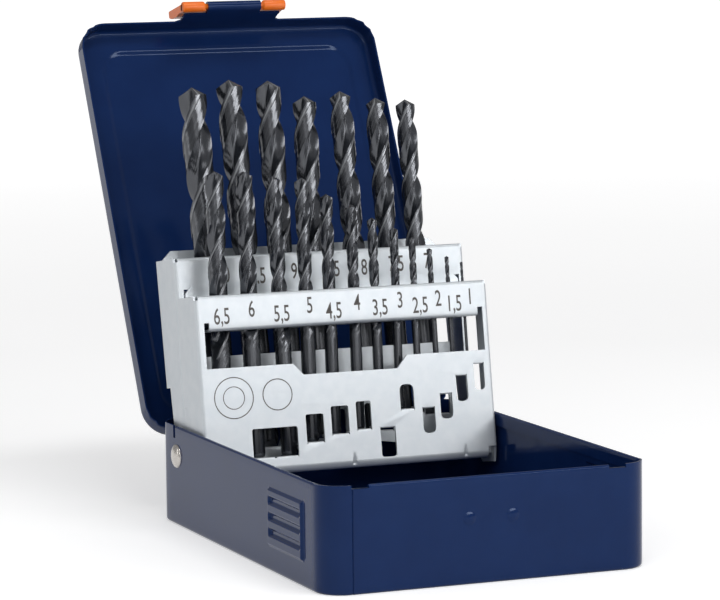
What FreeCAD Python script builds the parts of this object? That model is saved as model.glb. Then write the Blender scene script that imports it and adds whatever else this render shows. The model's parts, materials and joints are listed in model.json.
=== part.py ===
"""Hinged sheet-steel index case for a set of nineteen twist drills.

The case is a shallow tray with a lid on a wire hinge, a snap latch on the lid's
front roll, and a fold-up rack in two folded sheets that swings on two rivets.
Millimetres, +X to the right, +Y to the rear, +Z up, origin under the tray's centre.
"""
import FreeCAD, Part
import math
import os
import re
import Sketcher

VECTOR = FreeCAD.Vector
doc = FreeCAD.newDocument("drill_index_case")

# ---------------------------------------------------------------- driving sizes
SIZES = [
    ("base_width", 110.0, "tray, outside, side to side"),
    ("base_depth", 151.6, "tray, outside, front to rear"),
    ("base_height", 33.6, "tray, outside"),
    ("base_sheet", 0.7, "tray wall"),
    ("corner_radius", 9.0, "tray corners, outside"),
    ("base_edge_radius", 1.2, "bottom edge of the tray, outside"),
    ("hem_height", 4.5, "folded hem inside the tray's rim"),
    ("hem_sheet", 0.7, "thickness of the hem's inner layer"),
    ("slit_inset", 15.6, "rear wall to the slit in each side wall"),
    ("slit_width", 2.0, "slit in the side wall's rim"),
    ("slit_depth", 4.0, "slit below the rim"),
    ("rim_nick_width", 2.7, "nick in the front rim beside its left corner"),
    ("rim_nick_depth", 1.0, "depth of that nick"),
    ("pivot_inset", 18.8, "rear wall to the rack's pivot"),
    ("pivot_height", 23.6, "underside to the rack's pivot"),
    ("rivet_radius", 2.0, "rack pivot rivet, shank"),
    ("rivet_head_radius", 4.0, "domed rivet head"),
    ("rivet_head_height", 1.5, "domed rivet head"),
    ("rivet_tail_radius", 3.2, "upset rivet tail"),
    ("rivet_tail_height", 1.0, "upset rivet tail"),
    ("pivot_gap", 0.06, "radial running clearance on the rack's rivets"),
    ("washer_radius", 4.5, "spacer between tray wall and rack cheek"),
    ("stack_gap", 0.1, "side clearance of each washer and tail"),
    ("grip_length", 30.0, "embossed grip on each side wall"),
    ("grip_height", 19.0, "embossed grip"),
    ("grip_low", 8.0, "underside to the grip's lower edge"),
    ("grip_inset", 16.5, "front wall to the grip's front edge"),
    ("grip_raise", 0.9, "grip panel above the wall"),
    ("groove_count", 3, "grooves across the grip"),
    ("groove_height", 2.7, "each groove"),
    ("groove_pitch", 5.07, "one groove to the next"),
    ("groove_low", 3.1, "grip's lower edge to the first groove"),
    ("groove_margin", 2.0, "grip's ends to the grooves' ends"),
    ("dimple_radius", 2.2, "latch dimples on the front wall"),
    ("dimple_raise", 0.5, "latch dimples"),
    ("dimple_offset", 7.25, "centre line to each dimple"),
    ("dimple_height", 20.6, "underside to the dimples"),
    ("lid_gap", 0.3, "running gap between tray and closed lid"),
    ("lid_sheet", 0.65, "lid sheet"),
    ("lid_top", 39.8, "underside to the closed lid's top"),
    ("lid_depth", 7.2, "lid rim to lid top"),
    ("lid_edge_radius", 2.0, "lid's top edge, outside"),
    ("panel_inset", 9.6, "lid edge to its raised panel"),
    ("panel_raise", 0.8, "raised panel above the lid's border"),
    ("panel_corner_radius", 8.0, "corners of the raised panel"),
    ("lid_open_angle", 117.5, "lid swing from shut to its stop"),
    ("hinge_height", 29.1, "underside to the hinge pin"),
    ("knuckle_radius", 1.65, "hinge knuckles, outside"),
    ("hinge_pin_radius", 0.9, "hinge wire"),
    ("hinge_pin_length", 92.0, "hinge wire, with its peened ends"),
    ("hinge_gap", 0.06, "radial running clearance on the hinge wire"),
    ("knuckle_offset", 22.0, "centre line to each tray knuckle"),
    ("knuckle_width", 14.0, "tray knuckle"),
    ("knuckle_gap", 0.3, "side gap between knuckles"),
    ("outer_knuckle_width", 14.0, "outer lid knuckle"),
    ("tongue_width", 36.0, "tongue under the lid's front rim, at its shoulders"),
    ("tongue_flare", 1.8, "how far the tongue's root flares each side"),
    ("roll_width", 20.0, "rolled eye that carries the latch"),
    ("roll_radius", 1.85, "rolled eye, outside"),
    ("roll_drop", 16.1, "closed lid's top down to the rolled eye"),
    ("journal_radius", 1.0, "latch journals in the rolled eye"),
    ("journal_gap", 0.06, "radial running clearance of the journals"),
    ("journal_length", 4.0, "latch journals"),
    ("latch_width", 39.0, "latch, side to side"),
    ("barrel_radius", 1.9, "latch barrels"),
    ("latch_outer", 2.2, "latch axis to the lever's crown"),
    ("latch_neck", 1.5, "latch axis to the lever's hollowed neck"),
    ("latch_neck_reach", 4.5, "latch axis to the neck's end"),
    ("latch_crown_start", 7.2, "latch axis to the crown's near end"),
    ("latch_crown_end", 10.3, "latch axis to the crown's far end"),
    ("latch_tip", 1.32, "latch axis to the lever's outer face at its end"),
    ("latch_reach", 14.7, "latch axis to the lever's end"),
    ("latch_inner", 1.1, "latch axis to the lever's inner face"),
    ("latch_wall", 1.3, "lever wall round its hollow back"),
    ("latch_side_gap", 0.4, "barrel to rolled eye"),
    ("latch_open_angle", 165.0, "latch swing from shut to flipped back"),
    ("cheek_gap", 1.6, "tray wall to the rack's cheek, each side"),
    ("rack_sheet", 0.8, "rack sheet"),
    ("rack_lean", 8.93, "upright rack leans back"),
    ("front_reach", 21.8, "pivot to the front plate's face"),
    ("rear_reach", 4.06, "pivot to the rear plate's face"),
    ("lip_reach", 14.4, "pivot back to the rear lip"),
    ("front_top", 52.2, "pivot up to the front shelf"),
    ("rear_top", 65.85, "pivot up to the rear shelf"),
    ("front_drop", 8.0, "pivot down to the front plate's foot"),
    ("rear_drop", 5.0, "pivot down to the rear plate's foot"),
    ("foot_drop", 10.2, "pivot down to the deep foot under the largest drill"),
    ("foot_edge", -4.0, "right end of that deep foot"),
    ("front_label", 11.2, "label strip of the front plate"),
    ("rear_label", 11.8, "label strip of the rear plate"),
    ("window_sill", 28.7, "pivot up to the front plate's long window"),
    ("window_dip", 3.8, "deeper middle of that window"),
    ("rear_sill", 32.3, "pivot up to the rear plate's long window"),
    ("window_edge", 2.8, "cheek to the long windows, left"),
    ("window_edge_right", 2.2, "cheek to the long windows, right"),
    ("slot_width", 4.0, "slot beside the right cheek of the rear section"),
    ("slot_foot", 10.5, "pivot up to that slot"),
    ("ear_web_top", 9.7, "pivot up to the webs of the front section's ears"),
    ("ear_clearance", 0.2, "rear plate to the ears that pass it"),
    ("relief_width", 1.6, "relief slit at each end of a label strip"),
    ("relief_rise", 2.7, "relief slit above the label's lower bend"),
    ("dip_left", -18.2, "middle of the window's left slope"),
    ("dip_right", 19.1, "middle of the window's right slope"),
    ("dip_slope", 3.6, "width of each slope"),
    ("front_lip", 3.6, "lip behind the front shelf"),
    ("rear_lip", 3.3, "lip behind the rear shelf"),
    ("lip_end", 3.0, "lip ends stop short of the cheeks"),
    ("guide_depth", 13.0, "lower guide shelf of the front section"),
    ("rear_guide_depth", 15.0, "lower guide shelf of the rear section"),
    ("tab_depth", 11.0, "lanced seat tabs of the front section"),
    ("rear_tab_depth", 11.5, "lanced seat tabs of the rear section"),
    ("tab_side_gap", 0.3, "tab edge to window edge"),
    ("front_row", 14.0, "pivot forward to the front drills"),
    ("rear_row", 4.5, "pivot back to the rear drills"),
    ("hole_gap", 0.3, "radial clearance of the drill holes"),
    ("rear_hole_gap", 0.4, "the same on the rear shelves"),
    ("seat_gap", 0.1, "drill end above its seat"),
    ("section_gap", 0.05, "front section's lip to the rear plate"),
    ("foot_behind", 4.0, "front drills' axis back to the foot's rear edge"),
    ("rear_foot_behind", 5.2, "rear drills' axis back to the deep foot's rear edge"),
    ("foot_corner", 3.4, "cut corner of the front plate's foot, width"),
    ("foot_corner_rise", 4.0, "cut corner of the front plate's foot, height"),
    ("cheek_drop", 9.6, "pivot down to the front cheeks' lower edge"),
    ("cheek_corner", 2.4, "plate face to the cheeks' lower corner"),
    ("cheek_bevel", 3.0, "slopes on the front cheeks' rear corners"),
    ("cheek_taper", 2.4, "rear lip to the rear cheeks' lower rear corner"),
    ("cheek_waist", 8.6, "pivot back to the rear cheeks' waist"),
    ("cheek_foot", 22.8, "pivot up to the rear cheeks' waist"),
    ("ear_root", 4.0, "front plate's face to the ears' webs"),
    ("ear_radius", 6.5, "round ears at the rack's pivot"),
    ("overlap_height", 15.7, "pivot up to the lapped joint's top"),
    ("overlap_reach", 7.1, "pivot forward to the rear cheek's lapped edge"),
    ("flange_depth", 9.1, "right return flange of the front plate"),
    ("bend_radius", 1.2, "outside bends of the rack sheets"),
    ("foot_bend_radius", 2.5, "outside bend at the front plate's foot"),
    ("point_angle", 118.0, "drill point angle"),
    ("helix_angle", 30.0, "helix of the flutes at the drill's rim"),
    ("flute_centre", 0.92, "flute's cutting circle to the drill's axis, in diameters"),
    ("flute_round", 0.75, "radius of the flute's cutting circle, in diameters"),
    ("flute_chord", 0.55, "drill's axis to where that circle is cut off, in diameters"),
]
# Drills: name, diameter, length, flute length, x at the label, seat height, lean and turn in degrees
FRONT_DRILLS = [
    ("6_5", 6.5, 101.0, 63.0, -41.5, -7.2, 1.8, 20.0),
    ("6", 6.0, 95.0, 57.0, -30.7, -1.75, 1.3, 60.0),
    ("5_5", 5.5, 93.0, 57.0, -19.7, -1.75, 0.4, 100.0),
    ("5", 5.0, 88.0, 52.0, -10.4, 2.25, 1.7, 140.0),
    ("4_5", 4.5, 80.0, 47.0, -1.9, 4.35, 2.0, 0.0),
    ("4", 4.0, 75.0, 43.0, 7.0, 5.4, 2.0, 40.0),
    ("3_5", 3.5, 70.0, 39.0, 14.7, 5.6, 1.5, 80.0),
    ("3", 3.0, 61.0, 33.0, 22.3, 10.9, 2.0, 120.0),
    ("2_5", 2.5, 57.0, 30.0, 29.1, 11.3, 1.5, 160.0),
    ("2", 2.0, 49.0, 24.0, 35.7, 15.2, 0.3, 20.0),
    ("1_5", 1.5, 40.0, 18.0, 41.9, 21.2, 0.5, 60.0),
    ("1", 1.0, 34.0, 12.0, 47.3, 25.0, 0.3, 100.0),
]
REAR_DRILLS = [
    ("10", 10.0, 133.0, 87.0, -37.2, -9.4, -1.8, 70.0),
    ("9_5", 9.5, 125.0, 81.0, -23.6, 0.8, -1.9, 110.0),
    ("9", 9.0, 125.0, 81.0, -11.4, 0.0, -0.3, 150.0),
    ("8_5", 8.5, 117.0, 75.0, 0.4, 2.3, 0.8, 10.0),
    ("8", 8.0, 117.0, 75.0, 15.9, 3.6, -1.4, 50.0),
    ("7_5", 7.5, 109.0, 69.0, 28.5, 8.8, -1.1, 90.0),
    ("7", 7.0, 109.0, 69.0, 38.8, 7.9, -0.3, 130.0),
]
# Front windows: the drill's name, centre, width, height, seat tab below or above the window
FRONT_WINDOWS = [
    ("6", -32.0, 7.6, 9.5, "below"),
    ("5_5", -24.3, 8.0, 9.5, "below"),
    ("5", -13.7, 5.8, 9.0, "below"),
    ("4_5", -4.5, 5.7, 9.0, "below"),
    ("4", 4.0, 4.8, 9.0, "below"),
    ("3_5", 12.4, 5.1, 9.2, "above"),
    ("3", 20.2, 4.7, 7.7, "below"),
    ("2_5", 27.8, 4.3, 8.0, "above"),
    ("2", 34.4, 4.1, 7.6, "above"),
    ("1_5", 40.5, 3.9, 8.1, "above"),
    ("1", 47.2, 3.3, 8.5, "above"),
]
REAR_WINDOW_MARGIN = 1.2   # rear window wider than its drill, each side
REAR_WINDOW_HEIGHT = 9.5

sheet = doc.addObject("Spreadsheet::Sheet", "Sizes")
VALUES = {}


def add_size(alias, value, note):
    """Write one driving dimension into the sheet and name its cell."""
    row = len(VALUES) + 1
    sheet.set("A%d" % row, note)
    sheet.set("B%d" % row, repr(value))
    sheet.setAlias("B%d" % row, alias)
    VALUES[alias] = value


for alias, value, note in SIZES:
    add_size(alias, value, note)
for name, *numbers in FRONT_DRILLS + REAR_DRILLS:
    words = ("diameter", "length", "flute", "place", "seat", "lean", "turn")
    for word, value in zip(words, numbers):
        add_size("drill_%s_%s" % (name, word), value, "drill %s %s" % (name.replace("_", "."), word))
for name, centre, width, height, side in FRONT_WINDOWS:
    for word, value in (("centre", centre), ("width", width), ("height", height)):
        add_size("window_%s_%s" % (name, word), value, "window %s, %s" % (name.replace("_", "."), word))
add_size("rear_window_margin", REAR_WINDOW_MARGIN, "rear window beside its drill")
add_size("rear_window_height", REAR_WINDOW_HEIGHT, "rear window above its seat")
doc.recompute()

NAME = re.compile(r"[A-Za-z_][A-Za-z0-9_]*")


def tied(formula):
    """Turn a formula over size names into an expression over the sheet's cells."""
    return NAME.sub(lambda m: "Sizes." + m.group(0) if m.group(0) in VALUES else m.group(0), formula)


def bind(thing, path, formula):
    thing.setExpression(path, tied(formula))


# ---------------------------------------------------------------- modelling helpers
PLANES = {"XY": "XY_Plane", "XZ": "XZ_Plane", "YZ": "YZ_Plane"}
count = {"n": 0}


def fresh(word):
    """A document name that no other object has."""
    count["n"] += 1
    return "%s_%d" % (word, count["n"])


def make_body(label, placement=None):
    body = doc.addObject("PartDesign::Body", fresh("body"))
    body.Label = label
    if placement:
        bind(body, "Placement", placement)
    return body


def make_sketch(body, plane, offset):
    """An empty sketch on one of the body's own planes, moved along its normal."""
    sketch = body.newObject("Sketcher::SketchObject", fresh("sketch"))
    origin_plane = [f for f in body.Origin.OriginFeatures if f.Role == PLANES[plane]][0]
    sketch.AttachmentSupport = (origin_plane, [""])
    sketch.MapMode = "FlatFace"
    bind(sketch, "AttachmentOffset.Base.z", offset)
    return sketch


def add_outline(sketch, corners):
    """A closed polygon whose every corner is placed by two formulas."""
    total = len(corners)
    first = sketch.GeometryCount
    spots = [VECTOR(math.cos(2 * math.pi * k / total), math.sin(2 * math.pi * k / total), 0) * 10
             for k in range(total)]
    for k in range(total):
        sketch.addGeometry(Part.LineSegment(spots[k], spots[(k + 1) % total]), False)
    for k in range(total):
        sketch.addConstraint(Sketcher.Constraint("Coincident", first + k, 2, first + (k + 1) % total, 1))
    for k, (across, up) in enumerate(corners):
        for kind, start, formula in (("DistanceX", spots[k].x, across), ("DistanceY", spots[k].y, up)):
            index = sketch.addConstraint(Sketcher.Constraint(kind, -1, 1, first + k, 1, start))
            bind(sketch, "Constraints[%d]" % index, formula)


def add_rectangle(sketch, left, right, low, high):
    add_outline(sketch, [(left, low), (right, low), (right, high), (left, high)])


def add_circle(sketch, across, up, radius):
    first = sketch.GeometryCount
    sketch.addGeometry(Part.Circle(VECTOR(1, 1, 0), VECTOR(0, 0, 1), 1), False)
    index = sketch.addConstraint(Sketcher.Constraint("Radius", first, 1.0))
    bind(sketch, "Constraints[%d]" % index, radius)
    for kind, formula in (("DistanceX", across), ("DistanceY", up)):
        index = sketch.addConstraint(Sketcher.Constraint(kind, -1, 1, first, 3, 1.0))
        bind(sketch, "Constraints[%d]" % index, formula)


def add_bite(sketch, across, up, radius, chord, start):
    """The near side of a circle, closed by an upright chord, drawn first at start's sizes."""
    centre_x, centre_y, size, chord_x = start
    centre = VECTOR(centre_x, centre_y, 0)
    half = math.acos((centre_x - chord_x) / size)
    circle = Part.Circle(centre, VECTOR(0, 0, 1), size)
    ends = [centre + VECTOR(chord_x - centre_x, sign * size * math.sin(half), 0) for sign in (1, -1)]
    sketch.addGeometry(Part.ArcOfCircle(circle, math.pi - half, math.pi + half), False)
    sketch.addGeometry(Part.LineSegment(*ends), False)
    for end in (1, 2):
        sketch.addConstraint(Sketcher.Constraint("Coincident", 0, end, 1, end))
    sketch.addConstraint(Sketcher.Constraint("Vertical", 1))
    bind(sketch, "Constraints[%d]" % sketch.addConstraint(Sketcher.Constraint("Radius", 0, size)), radius)
    for kind, target, point, value, formula in (("DistanceX", 1, 1, chord_x, chord),
                                                ("DistanceX", 0, 3, centre_x, across),
                                                ("DistanceY", 0, 3, centre_y, up)):
        index = sketch.addConstraint(Sketcher.Constraint(kind, -1, 1, target, point, value))
        bind(sketch, "Constraints[%d]" % index, formula)


def pad(body, sketch, length, reverse=False):
    feature = body.newObject("PartDesign::Pad", fresh("pad"))
    feature.Profile = sketch
    feature.Reversed = reverse
    bind(feature, "Length", length)
    return feature


def pocket(body, sketch, length, reverse=False):
    feature = body.newObject("PartDesign::Pocket", fresh("pocket"))
    feature.Profile = sketch
    feature.Reversed = reverse
    bind(feature, "Length", length)
    return feature


def plate(body, plane, offset, thickness, corners, holes=(), reverse=False):
    """A flat sheet of the given outline with polygon holes, as one pad."""
    sketch = make_sketch(body, plane, offset)
    add_outline(sketch, corners)
    for hole in holes:
        add_outline(sketch, hole)
    return pad(body, sketch, thickness, reverse)


def fillet(body, base, radius, chosen):
    """Round the edges that chosen picks out of the shape built so far."""
    doc.recompute()
    feature = body.newObject("PartDesign::Fillet", fresh("fillet"))
    feature.Base = (base, ["Edge%d" % (k + 1) for k, edge in enumerate(base.Shape.Edges) if chosen(edge)])
    bind(feature, "Radius", radius)
    return feature


def near(a, b):
    return abs(a - b) < 1e-4


def value_of(formula_alias):
    return float(sheet.get(formula_alias))


def bend(body, base, outer_radius, outside, inside):
    """Round a folded edge: the outside at one radius, the inside a sheet less."""
    folded = fillet(body, base, outer_radius, outside)
    return fillet(body, folded, outer_radius + "-rack_sheet", inside)


def straight(edge):
    return not edge.Degenerated and isinstance(edge.Curve, Part.Line)


def along_x(y, z):
    """A test for straight edges that run along X at one place in the body's frame."""
    return lambda edge: straight(edge) and all(near(v.Y, y) and near(v.Z, z) for v in edge.Vertexes)


def along_z(x, y):
    return lambda edge: straight(edge) and all(near(v.X, x) and near(v.Y, y) for v in edge.Vertexes)


def upright(edge):
    ends = edge.Vertexes
    return straight(edge) and near(ends[0].X, ends[-1].X) and near(ends[0].Y, ends[-1].Y)


def in_plane(axis, place):
    """A test for edges that lie in one plane square to an axis."""
    return lambda edge: (near(getattr(edge.BoundBox, axis + "Min"), place)
                         and near(getattr(edge.BoundBox, axis + "Max"), place))


def revolve(body, corners):
    """A body of revolution about Z from a half profile in the XZ plane."""
    sketch = make_sketch(body, "XZ", "0")
    add_outline(sketch, corners)
    feature = body.newObject("PartDesign::Revolution", fresh("revolution"))
    feature.Profile = sketch
    feature.ReferenceAxis = (sketch, ["V_Axis"])
    feature.Angle = 360.0
    return feature


def mirror_sideways(body, originals):
    """Repeat features on the other side of the YZ plane."""
    feature = body.newObject("PartDesign::Mirrored", fresh("mirror"))
    feature.Originals = originals
    side = [f for f in body.Origin.OriginFeatures if f.Role == PLANES["YZ"]][0]
    feature.MirrorPlane = (side, [""])
    body.Tip = feature
    return feature


# ---------------------------------------------------------------- where things turn
PIVOT_Y = "(base_depth/2-pivot_inset)"
HINGE_Y = "(base_depth/2+lid_gap+knuckle_radius)"
RACK_PLACE = "placement(vector(0;%s;pivot_height);rotation(vector(1;0;0);-rack_lean))" % PIVOT_Y
LID_PLACE = "placement(vector(0;%s;hinge_height);rotation(vector(1;0;0);-lid_open_angle))" % HINGE_Y
LID_WIDTH = "(base_width+2*lid_gap+2*lid_sheet)"
LID_REAR = "(lid_sheet-knuckle_radius)"                                # lid's frame: Y from the hinge
LID_FRONT = "(lid_sheet-knuckle_radius-base_depth-2*lid_gap-2*lid_sheet)"
LID_RIM = "(lid_top-lid_depth-hinge_height)"                            # lid's frame: Z from the hinge
LID_CROWN = "(lid_top-hinge_height)"
ROLL_Y = "(%s+lid_sheet-roll_radius)" % LID_FRONT
ROLL_Z = "(lid_top-roll_drop-hinge_height)"
TURN_TO_X = "rotation(vector(0;1;0);90)"


# ---------------------------------------------------------------- tray
def make_base_tray():
    body = make_body("base_tray")
    sketch = make_sketch(body, "XY", "0")
    add_rectangle(sketch, "-base_width/2", "base_width/2", "-base_depth/2", "base_depth/2")
    block = pad(body, sketch, "base_height")
    rounded = fillet(body, block, "corner_radius", upright)
    bottom = fillet(body, rounded, "base_edge_radius", in_plane("Z", 0))
    doc.recompute()
    shell = body.newObject("PartDesign::Thickness", fresh("shell"))
    top = ["Face%d" % (k + 1) for k, f in enumerate(bottom.Shape.Faces)
           if near(f.BoundBox.ZMin, value_of("base_height"))]
    shell.Base = (bottom, top)
    shell.Reversed = True
    bind(shell, "Value", "base_sheet")

    hem = make_sketch(body, "XY", "base_height-hem_height")
    front = "(-base_depth/2+corner_radius+base_sheet)"
    for side in ("-", ""):
        walls = ("%s(base_width/2-base_sheet)" % side, "%s(base_width/2-base_sheet-hem_sheet)" % side)
        add_rectangle(hem, walls[0], walls[1], front, "base_depth/2-slit_inset-slit_width")
    reach = "(base_width/2-corner_radius-base_sheet)"
    add_rectangle(hem, "-" + reach, reach, "-base_depth/2+base_sheet", "-base_depth/2+base_sheet+hem_sheet")
    pad(body, hem, "hem_height")

    slits = make_sketch(body, "YZ", "base_width/2+base_sheet")
    add_rectangle(slits, "base_depth/2-slit_inset-slit_width", "base_depth/2-slit_inset",
                  "base_height-slit_depth", "base_height+base_sheet")
    pocket(body, slits, "base_width+2*base_sheet")

    nick = make_sketch(body, "XZ", "base_depth/2+base_sheet")
    nick_left = "-(base_width/2-corner_radius+rim_nick_width/2)"
    add_rectangle(nick, nick_left, nick_left + "+rim_nick_width", "base_height-rim_nick_depth",
                  "base_height+base_sheet")
    pocket(body, nick, "3*base_sheet")

    holes = make_sketch(body, "YZ", "base_width/2+base_sheet")
    add_circle(holes, PIVOT_Y, "pivot_height", "rivet_radius")
    pocket(body, holes, "base_width+2*base_sheet")

    field = make_sketch(body, "YZ", "base_width/2-base_sheet/2")
    grip_front = "(-base_depth/2+grip_inset)"
    add_rectangle(field, grip_front, grip_front + "+grip_length", "grip_low", "grip_low+grip_height")
    raised = [pad(body, field, "base_sheet/2+grip_raise")]
    grooves = make_sketch(body, "YZ", "base_width/2+grip_raise")
    for k in range(round(value_of("groove_count"))):
        low = "grip_low+groove_low+%d*groove_pitch" % k
        add_rectangle(grooves, grip_front + "+groove_margin", grip_front + "+grip_length-groove_margin",
                      low, low + "+groove_height")
    raised.append(pocket(body, grooves, "grip_raise"))
    mirror_sideways(body, raised)

    dimples = make_sketch(body, "XZ", "base_depth/2-base_sheet/2")
    for side in ("-", ""):
        add_circle(dimples, side + "dimple_offset", "dimple_height", "dimple_radius")
    bumps = pad(body, dimples, "base_sheet/2+dimple_raise")
    crown_y = -value_of("base_depth") / 2 - value_of("dimple_raise")
    fillet(body, bumps, "dimple_raise*0.8", in_plane("Y", crown_y))

    for side in (-1, 1):
        start = "%d*knuckle_offset-knuckle_width/2" % side
        web = make_sketch(body, "YZ", start)
        add_rectangle(web, "base_depth/2-base_sheet/2", HINGE_Y,
                      "hinge_height+knuckle_radius-base_sheet", "hinge_height+knuckle_radius")
        pad(body, web, "knuckle_width")
        knuckle = make_sketch(body, "YZ", start)
        add_circle(knuckle, HINGE_Y, "hinge_height", "knuckle_radius")
        pad(body, knuckle, "knuckle_width")
    bore = make_sketch(body, "YZ", "knuckle_offset+knuckle_width")
    add_circle(bore, HINGE_Y, "hinge_height", "hinge_pin_radius+hinge_gap")
    pocket(body, bore, "2*knuckle_offset+2*knuckle_width")
    return body


# ---------------------------------------------------------------- lid
def make_lid_shell():
    body = make_body("lid_shell", LID_PLACE)
    block_sketch = make_sketch(body, "XY", LID_RIM)
    add_rectangle(block_sketch, "-" + LID_WIDTH + "/2", LID_WIDTH + "/2", LID_FRONT, LID_REAR)
    block = pad(body, block_sketch, "lid_depth")
    rounded = fillet(body, block, "corner_radius+lid_gap+lid_sheet", upright)
    crown = value_of("lid_top") - value_of("hinge_height")
    fillet(body, rounded, "lid_edge_radius", in_plane("Z", crown))

    panel = make_sketch(body, "XY", LID_CROWN + "-lid_sheet/2")
    add_rectangle(panel, "-" + LID_WIDTH + "/2+panel_inset", LID_WIDTH + "/2-panel_inset",
                  LID_FRONT + "+panel_inset", LID_REAR + "-panel_inset")
    raised = pad(body, panel, "lid_sheet/2+panel_raise")
    half = value_of("base_width") / 2 + value_of("lid_gap") + value_of("lid_sheet") - value_of("panel_inset")
    soft = fillet(body, raised, "panel_corner_radius",
                  lambda edge: upright(edge) and near(abs(edge.Vertexes[0].X), half)
                  and edge.BoundBox.ZMax > crown + value_of("panel_raise") / 2)
    doc.recompute()
    shell = body.newObject("PartDesign::Thickness", fresh("shell"))
    rim = crown - value_of("lid_depth")
    shell.Base = (soft, ["Face%d" % (k + 1) for k, f in enumerate(soft.Shape.Faces)
                         if near(f.BoundBox.ZMax, rim)])
    shell.Reversed = True
    bind(shell, "Value", "lid_sheet")

    half_middle = "(knuckle_offset-knuckle_width/2-knuckle_gap)"
    spans = [("-" + half_middle, "2*" + half_middle),
             ("knuckle_offset+knuckle_width/2+knuckle_gap", "outer_knuckle_width"),
             ("-(knuckle_offset+knuckle_width/2+knuckle_gap+outer_knuckle_width)", "outer_knuckle_width")]
    for start, width in spans:
        leaf = make_sketch(body, "YZ", start)
        add_rectangle(leaf, "-knuckle_radius", LID_REAR, "0", LID_RIM + "+lid_sheet")
        pad(body, leaf, width)
        knuckle = make_sketch(body, "YZ", start)
        add_circle(knuckle, "0", "0", "knuckle_radius")
        pad(body, knuckle, width)
    bore = make_sketch(body, "YZ", "base_width/2")
    add_circle(bore, "0", "0", "hinge_pin_radius+hinge_gap")
    pocket(body, bore, "base_width")

    shoulder = "(%s+barrel_radius+latch_side_gap)" % ROLL_Z
    tongue = make_sketch(body, "XZ", "-(%s+lid_sheet)" % LID_FRONT)
    half_tongue, half_roll = "tongue_width/2", "roll_width/2"
    add_outline(tongue, [
        ("-(%s)-tongue_flare" % half_tongue, LID_RIM + "+lid_sheet"),
        ("-(%s)-tongue_flare" % half_tongue, LID_RIM),
        ("-(%s)" % half_tongue, LID_RIM + "-tongue_flare"),
        ("-(%s)" % half_tongue, shoulder), ("-" + half_roll, shoulder),
        ("-" + half_roll, ROLL_Z), (half_roll, ROLL_Z), (half_roll, shoulder),
        (half_tongue, shoulder), (half_tongue, LID_RIM + "-tongue_flare"),
        (half_tongue + "+tongue_flare", LID_RIM),
        (half_tongue + "+tongue_flare", LID_RIM + "+lid_sheet")])
    pad(body, tongue, "lid_sheet")
    roll = make_sketch(body, "YZ", "-roll_width/2")
    add_circle(roll, ROLL_Y, ROLL_Z, "roll_radius")
    pad(body, roll, "roll_width")
    eye = make_sketch(body, "YZ", "roll_width")
    add_circle(eye, ROLL_Y, ROLL_Z, "journal_radius+journal_gap")
    pocket(body, eye, "2*roll_width")
    return body


def make_hinge_pin():
    body = make_body("hinge_pin", "placement(vector(-hinge_pin_length/2;%s;hinge_height);%s)"
                     % (HINGE_Y, TURN_TO_X))
    length, radius = "hinge_pin_length", "hinge_pin_radius"
    revolve(body, [("0", "0"), (radius + "*0.7", "0"), (radius, "0.3*" + radius),
                   (radius, length + "-0.3*" + radius), (radius + "*0.7", length), ("0", length)])
    return body


# ---------------------------------------------------------------- latch
def make_latch():
    """Snap latch in its own frame: axis along X, lever down when the case is shut."""
    shut = "placement(vector(0;%s;%s);rotation(vector(1;0;0);-latch_open_angle))" % (ROLL_Y, ROLL_Z)
    place = "%s*%s" % (LID_PLACE, shut)
    body = make_body("latch", place)
    inner_end = "(roll_width/2+latch_side_gap)"
    side = make_sketch(body, "YZ", "-latch_width/2")
    add_outline(side, [("-latch_neck", "0"), ("latch_inner", "0"), ("latch_inner", "-latch_reach"),
                       ("-latch_tip", "-latch_reach"), ("-latch_outer", "-latch_crown_end"),
                       ("-latch_outer", "-latch_crown_start"), ("-latch_neck", "-latch_neck_reach")])
    pad(body, side, "latch_width")
    barrel = make_sketch(body, "YZ", "-latch_width/2")
    add_circle(barrel, "0", "0", "barrel_radius")
    pad(body, barrel, "latch_width")
    gap = make_sketch(body, "YZ", "-" + inner_end)
    add_rectangle(gap, "-2*barrel_radius", "2*barrel_radius", "-roll_radius-2*latch_side_gap",
                  "2*barrel_radius")
    pocket(body, gap, "2*" + inner_end, reverse=True)
    hollow = make_sketch(body, "XZ", "-latch_inner-latch_wall")
    add_rectangle(hollow, "-latch_width/2+latch_wall", "latch_width/2-latch_wall",
                  "-latch_reach+latch_wall", "-roll_radius-2*latch_side_gap-latch_wall")
    pocket(body, hollow, "latch_inner+latch_neck", reverse=True)
    for start in ("-" + inner_end, inner_end + "-journal_length-latch_side_gap"):
        journal = make_sketch(body, "YZ", start)
        add_circle(journal, "0", "0", "journal_radius")
        pad(body, journal, "journal_length+latch_side_gap")
    return body


# ---------------------------------------------------------------- rack
WALL = "(base_width/2-base_sheet-cheek_gap)"


def hole_row(body, drills, row_y, offset, left, right, near_edge, far_edge, gap):
    """A drill shelf: one rectangle of sheet with a round hole for each drill."""
    sketch = make_sketch(body, "XY", offset)
    add_rectangle(sketch, left, right, near_edge, far_edge)
    for drill in drills:
        tag = "drill_" + drill[0]
        add_circle(sketch, tag + "_place", row_y, tag + "_diameter/2+" + gap)
    return pad(body, sketch, "rack_sheet")


def seat_tab(body, left, width, near_edge, depth, top):
    """A lanced tab bent square to the plate; a drill's shank end stands on it."""
    tab = body.newObject("PartDesign::AdditiveBox", fresh("tab"))
    bind(tab, "Length", width)
    bind(tab, "Width", depth)
    bind(tab, "Height", "rack_sheet")
    bind(tab, "Placement.Base.x", left)
    bind(tab, "Placement.Base.y", near_edge)
    bind(tab, "Placement.Base.z", top + "-rack_sheet")
    return tab


def ear(body, start, corners):
    """One pivot ear: a web, a round end about the pivot and the rivet's hole."""
    plate(body, "YZ", start, "rack_sheet", corners)
    disc = make_sketch(body, "YZ", start)
    add_circle(disc, "0", "0", "ear_radius")
    pad(body, disc, "rack_sheet")


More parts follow.
